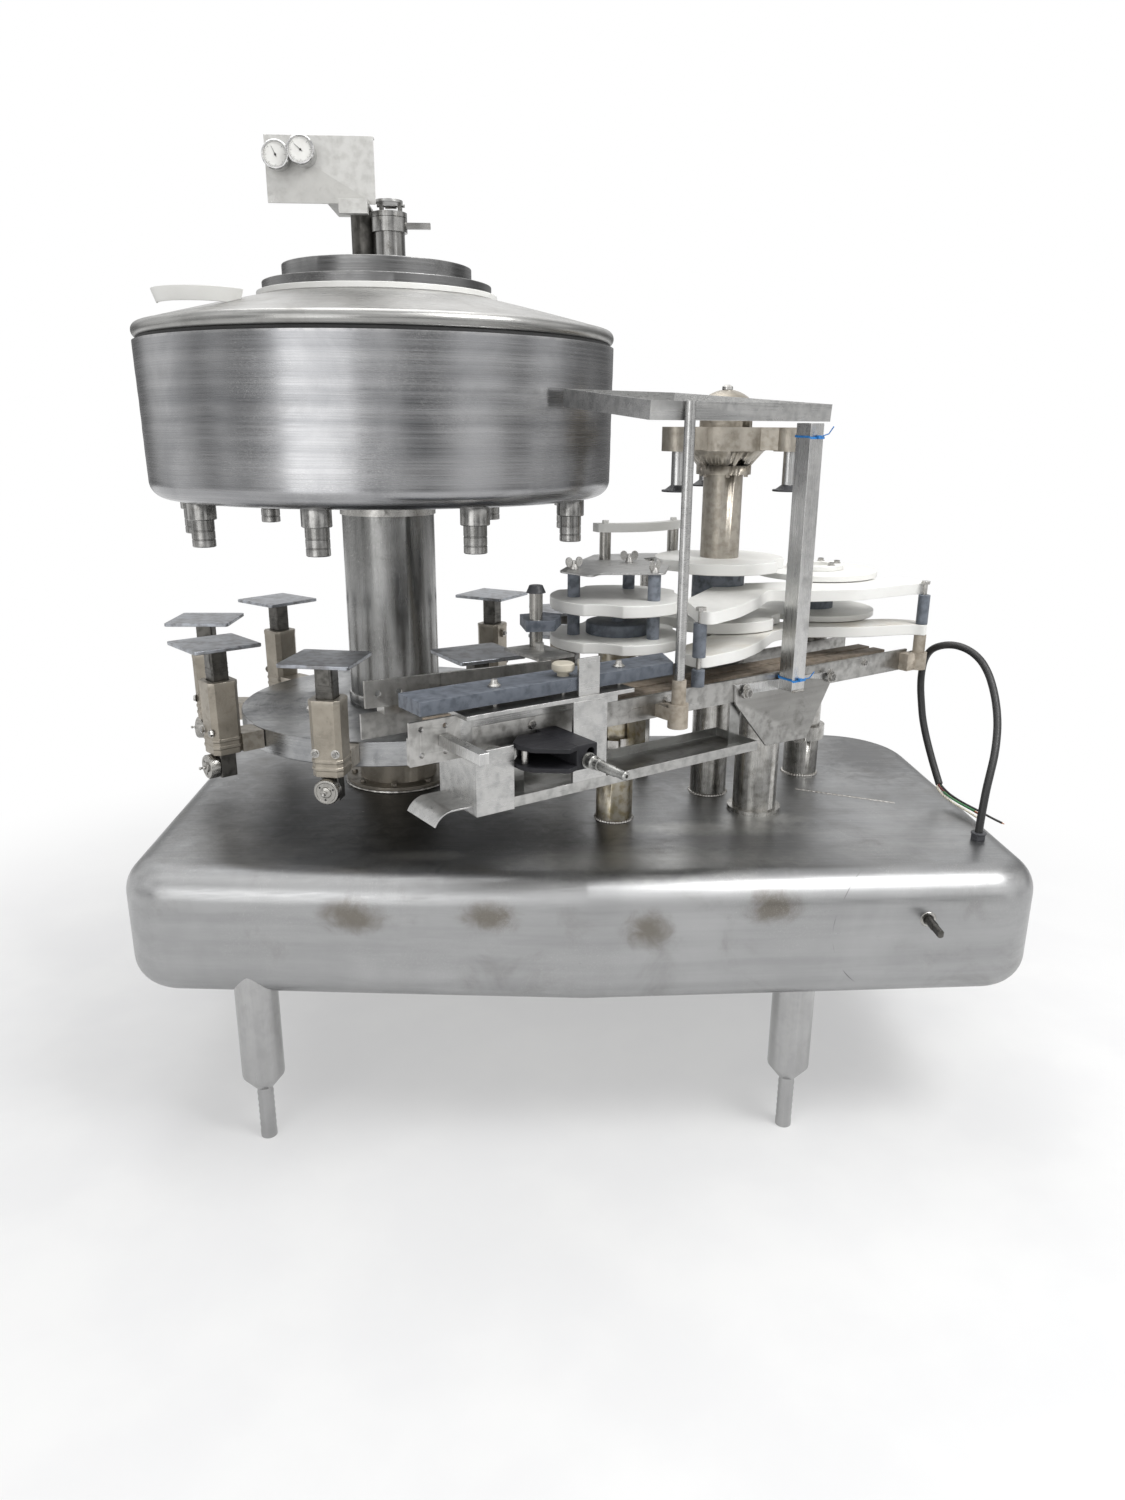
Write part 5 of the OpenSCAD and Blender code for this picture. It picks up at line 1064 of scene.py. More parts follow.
@dataclass
class Studio:
    """The camera that took the photograph, three plain lamps, the sky and a pale floor."""

    eye: Vec3 = (-0.014, -2.374, 1.5)
    pitch: float = 17.424
    yaw: float = 2.447
    roll: float = -0.374
    lens: float = 24.96

    def camera(self) -> None:
        """Stands the camera at the eye, looking down by pitch, right by yaw and leaning by roll."""
        p, y, r = (math.radians(v) for v in (self.pitch, self.yaw, self.roll))
        ahead = np.array([math.sin(y) * math.cos(p), math.cos(y) * math.cos(p), -math.sin(p)])
        right = np.array([math.cos(y), -math.sin(y), 0.0])
        down = np.cross(ahead, right)
        down = down if down[2] < 0 else -down
        right, down = right * math.cos(r) + down * math.sin(r), down * math.cos(r) - right * math.sin(r)
        data = bpy.data.cameras.new("photo camera")
        data.lens, data.sensor_width, data.clip_end = self.lens, 36.0, 60.0
        obj = bpy.data.objects.new("photo camera", data)
        turn = np.eye(4)
        turn[:3, 0], turn[:3, 1], turn[:3, 2], turn[:3, 3] = right, -down, -ahead, self.eye
        obj.matrix_world = Matrix(turn.tolist())
        bpy.context.scene.collection.objects.link(obj)
        bpy.context.scene.camera = obj

    @staticmethod
    def lamp(name: str, at: Vec3, aim: Vec3, watts: float, size: float) -> None:
        """A square lamp.

        Args:
            name: its name.
            at: where it hangs.
            aim: what it points at.
            watts: its power.
            size: its side in metres.
        """
        data = bpy.data.lights.new(name, "AREA")
        data.energy, data.size = watts, size
        obj = bpy.data.objects.new(name, data)
        z = np.array(at) - np.array(aim)
        z = z / np.linalg.norm(z)
        x = np.cross([0.0, 0.0, 1.0] if abs(z[2]) < 0.99 else [0.0, 1.0, 0.0], z)
        x = x / np.linalg.norm(x)
        turn = np.eye(4)
        turn[:3, 0], turn[:3, 1], turn[:3, 2], turn[:3, 3] = x, np.cross(z, x), z, at
        obj.matrix_world = Matrix(turn.tolist())
        bpy.context.scene.collection.objects.link(obj)

    def lamps(self) -> None:
        """A high key lamp behind the right shoulder, a roof lamp and a low front fill."""
        self.lamp("key", (2.0, -1.6, 3.9), (0.2, 0.0, 0.8), 95.0, 1.6)
        self.lamp("roof", (-0.3, 0.9, 4.2), (0.1, 0.1, 0.9), 60.0, 2.6)
        self.lamp("front fill", (-1.6, -3.4, 1.7), (0.1, -0.2, 0.8), 26.0, 2.2)

    @staticmethod
    def sky() -> None:
        """White to the camera; to mirrors it is a bright hall with darker walls."""
        world = bpy.data.worlds.new("hall")
        world.use_nodes = True
        bpy.context.scene.world = world
        b = Board(world.node_tree)
        out, back = b.add("ShaderNodeOutputWorld"), b.add("ShaderNodeBackground")
        b.put(back.outputs[0], out.inputs[0])
        way = b.add("ShaderNodeTexCoord").outputs["Generated"]
        xyz = b.add("ShaderNodeSeparateXYZ", {0: way})
        walls = b.ramp(b.noise(way, 1.9, 2.0, 0.45), 0.36, 0.62, 0.16, 1.05)
        roof = b.ramp(xyz.outputs[2], 0.1, 0.75, 0.0, 0.45)
        hall = b.sum("ADD", walls, roof)
        path = b.add("ShaderNodeLightPath")
        shown = b.sum("MAXIMUM", path.outputs["Is Camera Ray"], path.outputs["Is Transmission Ray"])
        diffuse = b.mix(path.outputs["Is Glossy Ray"], (0.55, 0.55, 0.56, 1.0), (1.0, 1.0, 1.0, 1.0))
        b.put(b.mix(shown, diffuse, (1.0, 1.0, 1.0, 1.0)), back.inputs[0])
        mirror = b.mix(path.outputs["Is Glossy Ray"], (1.0, 1.0, 1.0, 1.0), hall)
        b.put(b.mix(shown, mirror, (1.0, 1.0, 1.0, 1.0)), back.inputs[1])

    @staticmethod
    def floor() -> None:
        """A pale floor under the feet, which keeps the shadow and fades to white far out."""
        made = bpy.data.materials.new("pale floor")
        made.use_nodes = True
        b = Board(made.node_tree)
        out, shader = b.add("ShaderNodeOutputMaterial"), b.add("ShaderNodeBsdfPrincipled")
        place = b.add("ShaderNodeTexCoord").outputs["Object"]
        grey = b.mix(b.ramp(b.noise(place, 3.0, 5.0), 0.35, 0.7), (0.80, 0.80, 0.80, 1.0), (0.86, 0.86, 0.85, 1.0))
        b.put(grey, shader.inputs["Base Color"])
        shader.inputs["Roughness"].default_value = 0.9
        shader.inputs["Specular IOR Level"].default_value = 0.1
        glow, blend = b.add("ShaderNodeEmission"), b.add("ShaderNodeMixShader")
        far = b.add("ShaderNodeVectorMath", {0: place}, operation="LENGTH").outputs["Value"]
        b.put(b.ramp(far, 1.2, 2.6, 0.35, 1.0), blend.inputs[0])
        b.put(shader.outputs[0], blend.inputs[1])
        b.put(glow.outputs[0], blend.inputs[2])
        b.put(blend.outputs[0], out.inputs[0])
        mesh = bpy.data.meshes.new("floor")
        mesh.from_pydata([(-9, -9, 0), (9, -9, 0), (9, 9, 0), (-9, 9, 0)], [], [[0, 1, 2, 3]])
        mesh.materials.append(made)
        obj = bpy.data.objects.new("floor", mesh)
        bpy.context.scene.collection.objects.link(obj)

    def build(self) -> None:
        """Sets up the camera, the light and the floor."""
        self.camera()
        self.lamps()
        self.sky()
        self.floor()


# Power cable


@dataclass
class PowerCable:
    """The cut power cable: a stiff jacket that loops over the rail's end, with four bare conductors."""

    diameter: float = 0.017
    route: tuple[Vec3, ...] = (
        (0.986, -0.299, 0.644), (0.987, -0.298, 0.680), (0.991, -0.293, 0.715), (0.998, -0.283, 0.749),
        (1.009, -0.268, 0.781), (1.021, -0.250, 0.811), (1.032, -0.228, 0.842), (1.041, -0.203, 0.874),
        (1.046, -0.176, 0.907), (1.047, -0.148, 0.939), (1.044, -0.120, 0.968), (1.035, -0.092, 0.992),
        (1.019, -0.064, 1.008), (0.998, -0.036, 1.014), (0.978, -0.008, 1.008), (0.964, 0.018, 0.992),
        (0.959, 0.038, 0.965), (0.959, 0.048, 0.930), (0.961, 0.049, 0.894), (0.964, 0.042, 0.858),
        (0.967, 0.031, 0.822), (0.972, 0.015, 0.786), (0.978, -0.006, 0.750), (0.985, -0.031, 0.712),
        (0.991, -0.055, 0.680))
    wires: tuple[Vec3, ...] = (
        (0.99106, -0.05524, 0.67968), (0.9925, -0.0611, 0.6718), (1.002, -0.085, 0.660), (1.018, -0.120, 0.651),
        (1.036, -0.165, 0.646), (1.050, -0.205, 0.642), (1.060, -0.235, 0.640))

    def build(self) -> None:
        """Makes the jacket, the conductors with their copper tips and the gland nut."""
        path = along_curve(self.route, 4)
        length = float(np.linalg.norm(np.diff(path, axis=0), axis=1).sum())
        jacket = make("cable_jacket", tube(path, self.diameter / 2, 16), CABLE_RUBBER,
                      replaced=("power_cable",))
        fine = along_curve(self.wires, 8)
        spread = np.linspace(0.0, 1.0, len(fine))[:, None]
        strands = []
        for k, (finish, drift) in enumerate((
                (WIRE_BLACK, (0.010, 0.012, 0.002)), (WIRE_RED, (-0.008, 0.004, 0.006)),
                (WIRE_WHITE, (-0.030, -0.004, 0.014)), (WIRE_GREEN, (-0.018, -0.012, 0.020)))):
            a = math.pi / 2 * k + 0.6
            start = np.array([math.cos(a) * 0.0035, 0.0, math.sin(a) * 0.0035 + 0.001])
            line = fine + start + spread * np.array(drift)
            reach = int(len(line) * (1.0, 0.8, 0.92, 0.7)[k])
            line = line[:reach]
            line[:, 2] = np.maximum(line[:, 2], 0.6415)
            wire = make(f"conductor_{k + 1}", tube(line, 0.0026, 10), finish,
                        replaced=("cable_conductors",))
            tip = line[-1] + (line[-1] - line[-3]) * 0.9
            core = make(f"conductor_tip_{k + 1}", tube([line[-1] - 0.0001, tip], 0.0012, 8), COPPER)
            strands += [wire, core]
        nut = join([drum(0.0165, 0.6505, 0.6545, (0.986, -0.299), 24, 0.001),
                    prism(np.array([0.986, -0.299]) + 0.0165 * np.column_stack(
                        [np.cos(np.arange(6) * np.pi / 3), np.sin(np.arange(6) * np.pi / 3)]), 0.638, 0.6505)])
        make("cable_gland_nut", nut, BLACK_PLASTIC, edge=FINE)


# Base and legs


@dataclass
class Base:
    """The hollow sheet base: five round corners joined by straight walls, with rounded long edges."""

    bottom: float = 0.355
    edge_r: float = 0.070
    corners: tuple[tuple[float, float, float], ...] = (
        (-0.723, -0.331, 0.115), (0.120, -0.395, 0.115), (0.956, -0.373, 0.115), (0.851, 0.340, 0.220),
        (-0.648, 0.370, 0.190))
    feet: Vec2 = (0.572, 0.412)

    def walk(self) -> tuple[np.ndarray, np.ndarray]:
        """Walks once round the base.

        The outward normal of each wall leans off the line between its two corner centres by
        the arc cosine of their difference in radius over their distance.

        Returns:
            Points on the line that the rounded edge turns about, and the outward normals there.
        """
        c = np.array(self.corners)
        step = np.roll(c, -1, 0)[:, :2] - c[:, :2]
        length = np.linalg.norm(step, axis=1)
        lean = np.arctan2(step[:, 1], step[:, 0]) - np.arccos((c[:, 2] - np.roll(c[:, 2], -1)) / length)
        places, normals = [], []
        for i in range(len(c)):
            start, end = lean[i - 1], lean[i]
            end += 2 * np.pi * math.ceil((start - end) / (2 * np.pi) - 1e-9)
            a = np.linspace(start, end, 16)
            n = np.column_stack([np.cos(a), np.sin(a)])
            places.append(c[i, :2] + n * (c[i, 2] - self.edge_r))
            normals.append(n)
            j = (i + 1) % len(c)
            first, last = places[-1][-1], c[j, :2] + n[-1] * (c[j, 2] - self.edge_r)
            t = np.linspace(0, 1, max(3, int(length[i] / 0.03)))[1:-1, None]
            places.append(first + (last - first) * t)
            normals.append(np.repeat(n[-1:], len(t), 0))
        return np.vstack(places), np.vstack(normals)

    def shell(self) -> Surface:
        """The base's outer skin.

        Down the wall the point is core + edge_r * cos(v) * normal, at the edge's own height
        plus edge_r * sin(v); over the two faces it is the middle plus a falling share of the
        core, and the top is a little wavy.

        Returns:
            The closed skin.
        """
        core, normal = self.walk()
        low, high = self.bottom + self.edge_r, BASE_TOP - self.edge_r
        v = np.linspace(-np.pi / 2, 0, 12)
        across = np.concatenate([np.cos(v), np.ones(7), np.cos(v[::-1])]) * self.edge_r
        height = np.concatenate([low + self.edge_r * np.sin(v), np.linspace(low, high, 9)[1:-1],
                                 high - self.edge_r * np.sin(v[::-1])])
        wall = core[:, None] + across[None, :, None] * normal[:, None]
        wave = 0.0006 * (1 + np.sin(core[:, None, 0] * 7.0 + height[None] * 9.0))
        wall = wall + normal[:, None] * (wave * (across / self.edge_r)[None])[..., None]
        sides = np.concatenate([wall, np.broadcast_to(height[None, :, None], wall.shape[:2] + (1,))], -1)
        middle = core.mean(0)
        share = np.array([0.93, 0.82, 0.68, 0.5, 0.3, 0.12])[None, :, None]
        flat = middle + share * (core - middle)[:, None]
        rise = 0.0007 * (1 + np.sin(flat[..., 0] * 6.0) * np.cos(flat[..., 1] * 5.0)) * (1 - share[..., 0])
        over = np.concatenate([flat, (BASE_TOP + rise)[..., None]], -1)
        under = np.concatenate([flat[:, ::-1], np.full(flat.shape[:2] + (1,), self.bottom)], -1)
        grid = np.concatenate([under, sides, over], 1)
        nu, nv = grid.shape[:2]
        faces = grid_faces(nu, nv, True, False)
        first = np.arange(nu) * nv
        second = np.roll(first, -1)
        poles = [[*middle, self.bottom], [*middle, BASE_TOP + 0.0007]]
        faces += np.stack([np.full(nu, nu * nv), second, first], -1).tolist()
        faces += np.stack([first + nv - 1, second + nv - 1, np.full(nu, nu * nv + 1)], -1).tolist()
        return Surface(np.vstack([grid.reshape(-1, 3), poles]), faces)

    def leg(self) -> Surface:
        """One leg: a screwed stem with bands, a cone and a tube up into the base."""
        bands = [(0.0175 - 0.0012 * (k % 2), 0.014 + 0.008 * k) for k in range(14)]
        profile = [(0, 0), (0.0165, 0), (0.0175, 0.001), (0.0175, 0.008), *bands, (0.0175, 0.128), (0.021, 0.128),
                   (0.0440, 0.158), (0.0445, 0.161), (0.0445, 0.425), (0, 0.425)]
        return lathe(profile, sides=64)

    def build(self) -> None:
        """Makes the skin, legs, crank bearing, weld beads and hidden floor."""
        make("base_skin", self.shell(), BASE_STEEL, replaced=("base_housing",))
        ring = lathe([(0.0113, 0), (0.0165, 0), (0.0165, 0.004), (0.0155, 0.0052), (0.0113, 0.0052)], sides=48,
                     closed=True)
        make("crank_bearing", ring.laid((0, -1, 0), (0.813, -0.4885, 0.543)), POST_STEEL)
        x, y = self.feet
        legs = join([self.leg().moved((sx * x, sy * y, 0.0)) for sx in (-1, 1) for sy in (-1, 1)])
        make("legs_turned", legs, LEG_STEEL, replaced=("legs",))
        beads = [weld_ring(r, BASE_TOP + 0.001, c, 0.004) for r, c in (
            (0.0415, STAR), (0.044, CAPPER), (0.043, DISCHARGE), (0.050, (0.535, -0.093)),
            (0.0175, (0.300, 0.170)), (0.130, TABLE))]
        beads.append(weld_line((0.667, 0.035, BASE_TOP), (0.882, -0.07, BASE_TOP), 0.0022))
        make("base_welds", join(beads), WELD_STEEL)
        refine("crank_stub", SHAFT_DARK, FINE)
        paint("base_floor", PLAIN_STEEL)
        paint("gearmotor", MOTOR_PAINT)
        for node in ("main_gear", "drive_pinion", "idler_gear"):
            paint(node, GEAR_IRON)


# Table


@dataclass
class Turntable:
    """The turntable, its column and its bearing, and nine stations with housings and platforms."""

    pedestal_w: float = 0.066
    bore: float = 0.0405
    pedestal_low: float = 0.797
    pedestal_high: float = 0.961
    plate_w: float = 0.150
    plate_top: float = 1.044

    def section(self, width: float, chamfer: float) -> np.ndarray:
        """A square section with cut corners, as eight points."""
        h, c = width / 2, chamfer
        return np.array([(-h + c, -h), (h - c, -h), (h, -h + c), (h, h - c), (h - c, h), (-h + c, h), (-h, h - c),
                         (-h, -h + c)])

    def sleeve(self) -> Surface:
        """One cast housing.

        Its section is a square with cut corners that widens over two ribs near the foot and
        under the rim, and its inner face is the shaft's square bore; the sections run up the
        outside and down the inside.

        Returns:
            The closed sleeve, drawn about the platform's middle.
        """
        w, low, high = self.pedestal_w, self.pedestal_low, self.pedestal_high
        outer = [(0.985, low), (1.0, low + 0.002), (1.0, low + 0.013), (1.04, low + 0.015), (1.04, low + 0.020),
                 (1.0, low + 0.022), (1.0, low + 0.029), (1.04, low + 0.031), (1.04, low + 0.036),
                 (1.0, low + 0.038), (1.015, high - 0.012), (1.03, high - 0.009), (1.03, high - 0.002),
                 (1.01, high)]
        rows = [np.column_stack([self.section(w * s, w * 0.16), np.full(8, z)]) for s, z in outer]
        rows += [np.column_stack([self.section(self.bore, 0.001), np.full(8, z)]) for z in (high, low)]
        grid = np.stack(rows, 1)
        return Surface(grid.reshape(-1, 3), grid_faces(8, len(rows), True, True))

    def housings(self) -> None:
        """Makes the nine cast housings with their side tabs, lugs and bolts."""
        body, slot = BODY_OF["pedestal_housings"], SLOT_OF["pedestal_housings"]
        half = self.pedestal_w / 2
        tab = block((-0.008, -half - 0.007, 0.925), (0.008, -half + 0.001, 0.945))
        lug = block((-0.0825, -half * 0.96, 0.796), (-half + 0.001, half * 0.96, 0.838))
        bolts = [hex_head(0.0075, 0.006).laid((1, 0, 0), (half, y * self.pedestal_w, self.pedestal_low + 0.052))
                 for y in (-0.33, 0.33)]
        caps = hex_head(0.006, 0.005).laid((0, -1, 0), (0.0, -half - 0.007, 0.935))
        cast = [self.sleeve() + tab + lug for _ in range(STATIONS)]
        make("pedestals_cast", join([at_station(s, i) for i, s in enumerate(cast)]), CAST_GREY, body, SMALL,
             ("pedestal_housings",))
        make("pedestal_bolts", join([at_station(join([*bolts, caps]), i) for i in range(STATIONS)]), BOLT_STEEL,
             body)

    def platform(self, i: int) -> None:
        """Makes platform i: its plate, square shaft, bracket and cam roller.

        Args:
            i: the station, from 0.
        """
        node = f"platform_{i + 1}"
        body, slot = BODY_OF[node], SLOT_OF[node]
        top, w = self.plate_top, self.plate_w
        plate = prism(round_rect(w, w, 0.006, 4), top - 0.008, top)
        pad = prism(round_rect(0.062, 0.062, 0.006, 4), top - 0.016, top - 0.0078)
        make(f"{node}_plate", at_station(plate + pad, i), PLATFORM_STEEL, body, SHEET, (node,))
        ribs = [prism(self.section(0.0395, 0.004), z, z + 0.004) for z in (0.975, 0.985, 0.995)]
        shaft = prism(self.section(0.038, 0.0025), 0.742, top - 0.0158)
        strap = block((0.0185, -0.013, 0.990), (0.0200, 0.013, top - 0.0158))
        make(f"{node}_shaft", at_station(join([shaft, *ribs, strap]), i), SHAFT_DARK, body, FINE)
        wheel = lathe([(0, 0.0005), (0.0245, 0.0005), (0.027, 0.003), (0.027, 0.0215), (0.0255, 0.0245),
                       (0.0215, 0.025), (0.0205, 0.0238), (0.012, 0.0238), (0.0115, 0.027), (0.0085, 0.0285),
                       (0, 0.0285)], sides=56)
        # Painted shade: three flat black discs on the roller's face stand in for its holes.
        holes = [drum(0.0022, 0.0236, 0.0241).moved((0.0165 * math.cos(a), 0.0165 * math.sin(a), 0.0))
                 for a in (0.4, 2.5, 4.6)]
        roller = wheel.laid((1, 0, 0), (0.019, 0.0, 0.768))
        make(f"{node}_roller", at_station(roller, i), POST_STEEL, body, FINE)
        dark = join([h.laid((1, 0, 0), (0.019, 0.0, 0.768)) for h in holes])
        make(f"{node}_roller_hole_shade", at_station(dark, i), DIAL_BLACK, body)
        nipples = grease_nipple().laid((1, 0, 0), (0.0472, 0.0, 0.768)) + grease_nipple().laid(
            (0, -1, 0), (0.0, -0.0195, 0.752))
        make(f"{node}_nipples", at_station(nipples, i), BOLT_STEEL, body)

    def build(self) -> None:
        """Makes the turning table with everything that stands on it."""
        refine("turntable_disc", DISC_STEEL, Edge(0.0025, 3))
        column = refine("column", COLUMN_STEEL, SMALL)
        zone(column, BOLT_STEEL, (-9, -9, 1.294), (9, 9, 1.318), TABLE, (0.1085, 9.0))
        body, slot = BODY_OF["column"], SLOT_OF["column"]
        seam = lathe([(0.1075, 0.846), (0.1125, 0.847), (0.113, 0.850), (0.113, 0.866), (0.1115, 0.869),
                      (0.1075, 0.870)], TABLE, 96, True)
        make("column_foot_ring", seam, COLUMN_STEEL, body)
        refine("hub_bearing", CAST_GREY, SMALL)
        self.housings()
        for i in range(STATIONS):
            self.platform(i)


# Bowl and top


@dataclass
class Bowl:
    """The product bowl, its lid, the nozzles under it and the fixed fittings on top."""

    low: float = 1.340
    rim: float = 1.661
    low_r: float = 0.522
    high_r: float = 0.526
    foot_r: float = 0.036
    wall: float = 0.006
    tube_r: float = 0.045
    bore_r: float = 0.0325

    def bowl_profile(self) -> np.ndarray:
        """The bowl's section: the round foot is a quarter circle, and the wall swells in faint hoops."""
        a = np.linspace(-np.pi / 2, 0, 14)
        foot = np.column_stack([self.low_r - self.foot_r + self.foot_r * np.cos(a),
                                self.low + self.foot_r + self.foot_r * np.sin(a)])
        z = np.linspace(self.low + self.foot_r, self.rim - 0.001, 46)[1:]
        share = (z - z[0]) / (z[-1] - z[0])
        hoops = 0.0002 * np.sin(share * 41.0) * np.sin(share * np.pi) + 0.00025 * np.sin(share * 9.0)
        outer = np.column_stack([self.low_r + (self.high_r - self.low_r) * share + hoops, z])
        inner_foot = np.column_stack([self.low_r - self.foot_r + (self.foot_r - self.wall) * np.cos(a[::-1]),
                                      self.low + self.foot_r + (self.foot_r - self.wall) * np.sin(a[::-1])])
        floor = self.low + self.wall
        return np.vstack([[(self.bore_r, self.low)], foot, outer,
                          [(self.high_r - self.wall, self.rim), (self.high_r - self.wall, self.rim - 0.01)],
                          inner_foot, [(self.tube_r, floor), (self.tube_r, 1.620), (self.bore_r, 1.620)]])

    def lid_profile(self) -> np.ndarray:
        """The lid's section: a rolled edge over half an ellipse, then a shallow cone to the hole."""
        a = np.linspace(-np.pi / 2, np.pi / 2, 18)
        roll = np.column_stack([0.5135 + 0.0125 * np.cos(a), 1.6805 + 0.0145 * np.sin(a)])
        t = np.linspace(0, 1, 14)[1:]
        cone = np.column_stack([0.5135 + (0.264 - 0.5135) * t, 1.695 + 0.062 * t + 0.0012 * np.sin(t * np.pi)])
        under = np.column_stack([cone[::-1, 0], cone[::-1, 1] - 0.0018])
        return np.vstack([[(0.514, 1.670), (0.514, 1.6615), (0.5175, 1.6615), (0.5175, 1.6667)], roll[2:], cone,
                          [(0.240, 1.757), (0.240, 1.745), (0.2418, 1.745), (0.2418, 1.7552)], under,
                          [(0.508, 1.689), (0.505, 1.679)]])

    def nozzle(self) -> Surface:
        """One nozzle: a bush, a tube with two grooves and the bore through both."""
        return lathe([(0.019, 1.248), (0.0228, 1.248), (0.024, 1.2495), (0.024, 1.262), (0.0232, 1.2628),
                      (0.0232, 1.2645), (0.024, 1.2653), (0.024, 1.280), (0.0232, 1.2808), (0.0232, 1.2825),
                      (0.024, 1.2833), (0.024, 1.304), (0.0288, 1.304), (0.030, 1.3055), (0.030, 1.338),
                      (0.0292, 1.3398), (0.019, 1.3398)], sides=48, closed=True)

    def dial(self, x: float, y: float, z: float, name: str, reading: float) -> None:
        """One gauge's face: a bezel, a card, its marks and a needle.

        Args:
            x: middle of the dial.
            y: front of the gauge.
            z: middle of the dial.
            name: the gauge's name.
            reading: angle of the needle in degrees.
        """
        slot, ahead, at = SLOT_OF["gauges"], (0, -1, 0), (x, y, z)
        bezel = lathe([(0.0232, 0.0), (0.0278, 0.0), (0.0282, 0.002), (0.0265, 0.0042), (0.0242, 0.0042),
                       (0.0232, 0.0022)], sides=64, closed=True)
        make(f"{name}_bezel", bezel.laid(ahead, at), CHROME)
        make(f"{name}_card", drum(0.0233, 0.0, 0.0008, sides=64).laid(ahead, at), DIAL_WHITE)
        marks = [block((0.0205 - 0.0025 * (k % 5 == 0), -0.0003, 0.0006), (0.0222, 0.0003, 0.0011)).moved(
            turn=-135 + 270 / 30 * k - 90) for k in range(31)]
        needle = prism([(-0.005, -0.0006), (0.017, -0.0002), (0.017, 0.0002), (-0.005, 0.0006)], 0.0012,
                       0.0016).moved(turn=reading)
        hub = drum(0.0022, 0.0006, 0.0022, sides=16)
        make(f"{name}_marks", join([*marks, needle, hub]).laid(ahead, at), DIAL_BLACK)

    def strip(self) -> None:
        """A loose white band on the lid.

        It stands on edge along an arc whose angle runs from 200 to 325 degrees, 3 mm thick,
        and leans outwards, so the section at u is a slanted bar at radius 0.095 + its height / 2.
        """
        u = np.radians(np.linspace(196, 338, 40))[:, None]
        height = np.array([0.0, 0.026, 0.026, 0.0])[None, :]
        depth = np.array([0.0, 0.0, 0.0032, 0.0032])[None, :]
        r = 0.085 + depth + height * 0.35
        points = np.stack([-0.640 + r * np.cos(u), -0.100 + r * np.sin(u), 1.7215 + height + 0 * u], -1)
        faces = grid_faces(40, 4, False, True) + [[0, 1, 2, 3], [159, 158, 157, 156]]
        make("loose_band", Surface(points.reshape(-1, 3), faces), WHITE_PLASTIC,
             BODY_OF["bowl_lid"], FINE)

    def build(self) -> None:
        """Makes the bowl, lid, nozzles, inlet, cover and gauges."""
        make("bowl_spun", lathe(self.bowl_profile(), TABLE, 256, True), BOWL_STEEL,
             BODY_OF["bowl"], Edge(hard=50.0), ("bowl",))
        lid = make("lid_spun", lathe(self.lid_profile(), TABLE, 256, True), LID_STEEL,
                   BODY_OF["bowl_lid"], Edge(hard=40.0), ("bowl_lid",))
        zone(lid, SEAL_BLACK, (-9, -9, 0), (9, 9, 1.6672), TABLE, (0.51, 0.5185))
        make("nozzles_turned", join([at_station(self.nozzle(), i) for i in range(STATIONS)]), NOZZLE_STEEL,
             BODY_OF["filling_nozzles"], replaced=("filling_nozzles",))
        cover = refine("top_cover", COVER_DARK, SHEET)
        zone(cover, WHITE_PLASTIC, (-9, -9, 1.750), (9, 9, 1.7694), TABLE, (0.0, 0.27))
        refine("centre_standpipe", SHAFT_DARK, SMALL)
        refine("inlet_tube", NOZZLE_STEEL, SMALL)
        refine("inlet_flap", PLAIN_STEEL, FINE)
        refine("gauge_panel", PANEL_STEEL, FINE)
        refine("gauges", CHROME, FINE)
        self.dial(-0.509, 0.053, 2.024, "left_gauge", 115.0)
        self.dial(-0.455, 0.041, 2.031, "right_gauge", 140.0)
        self.strip()


# Conveyor


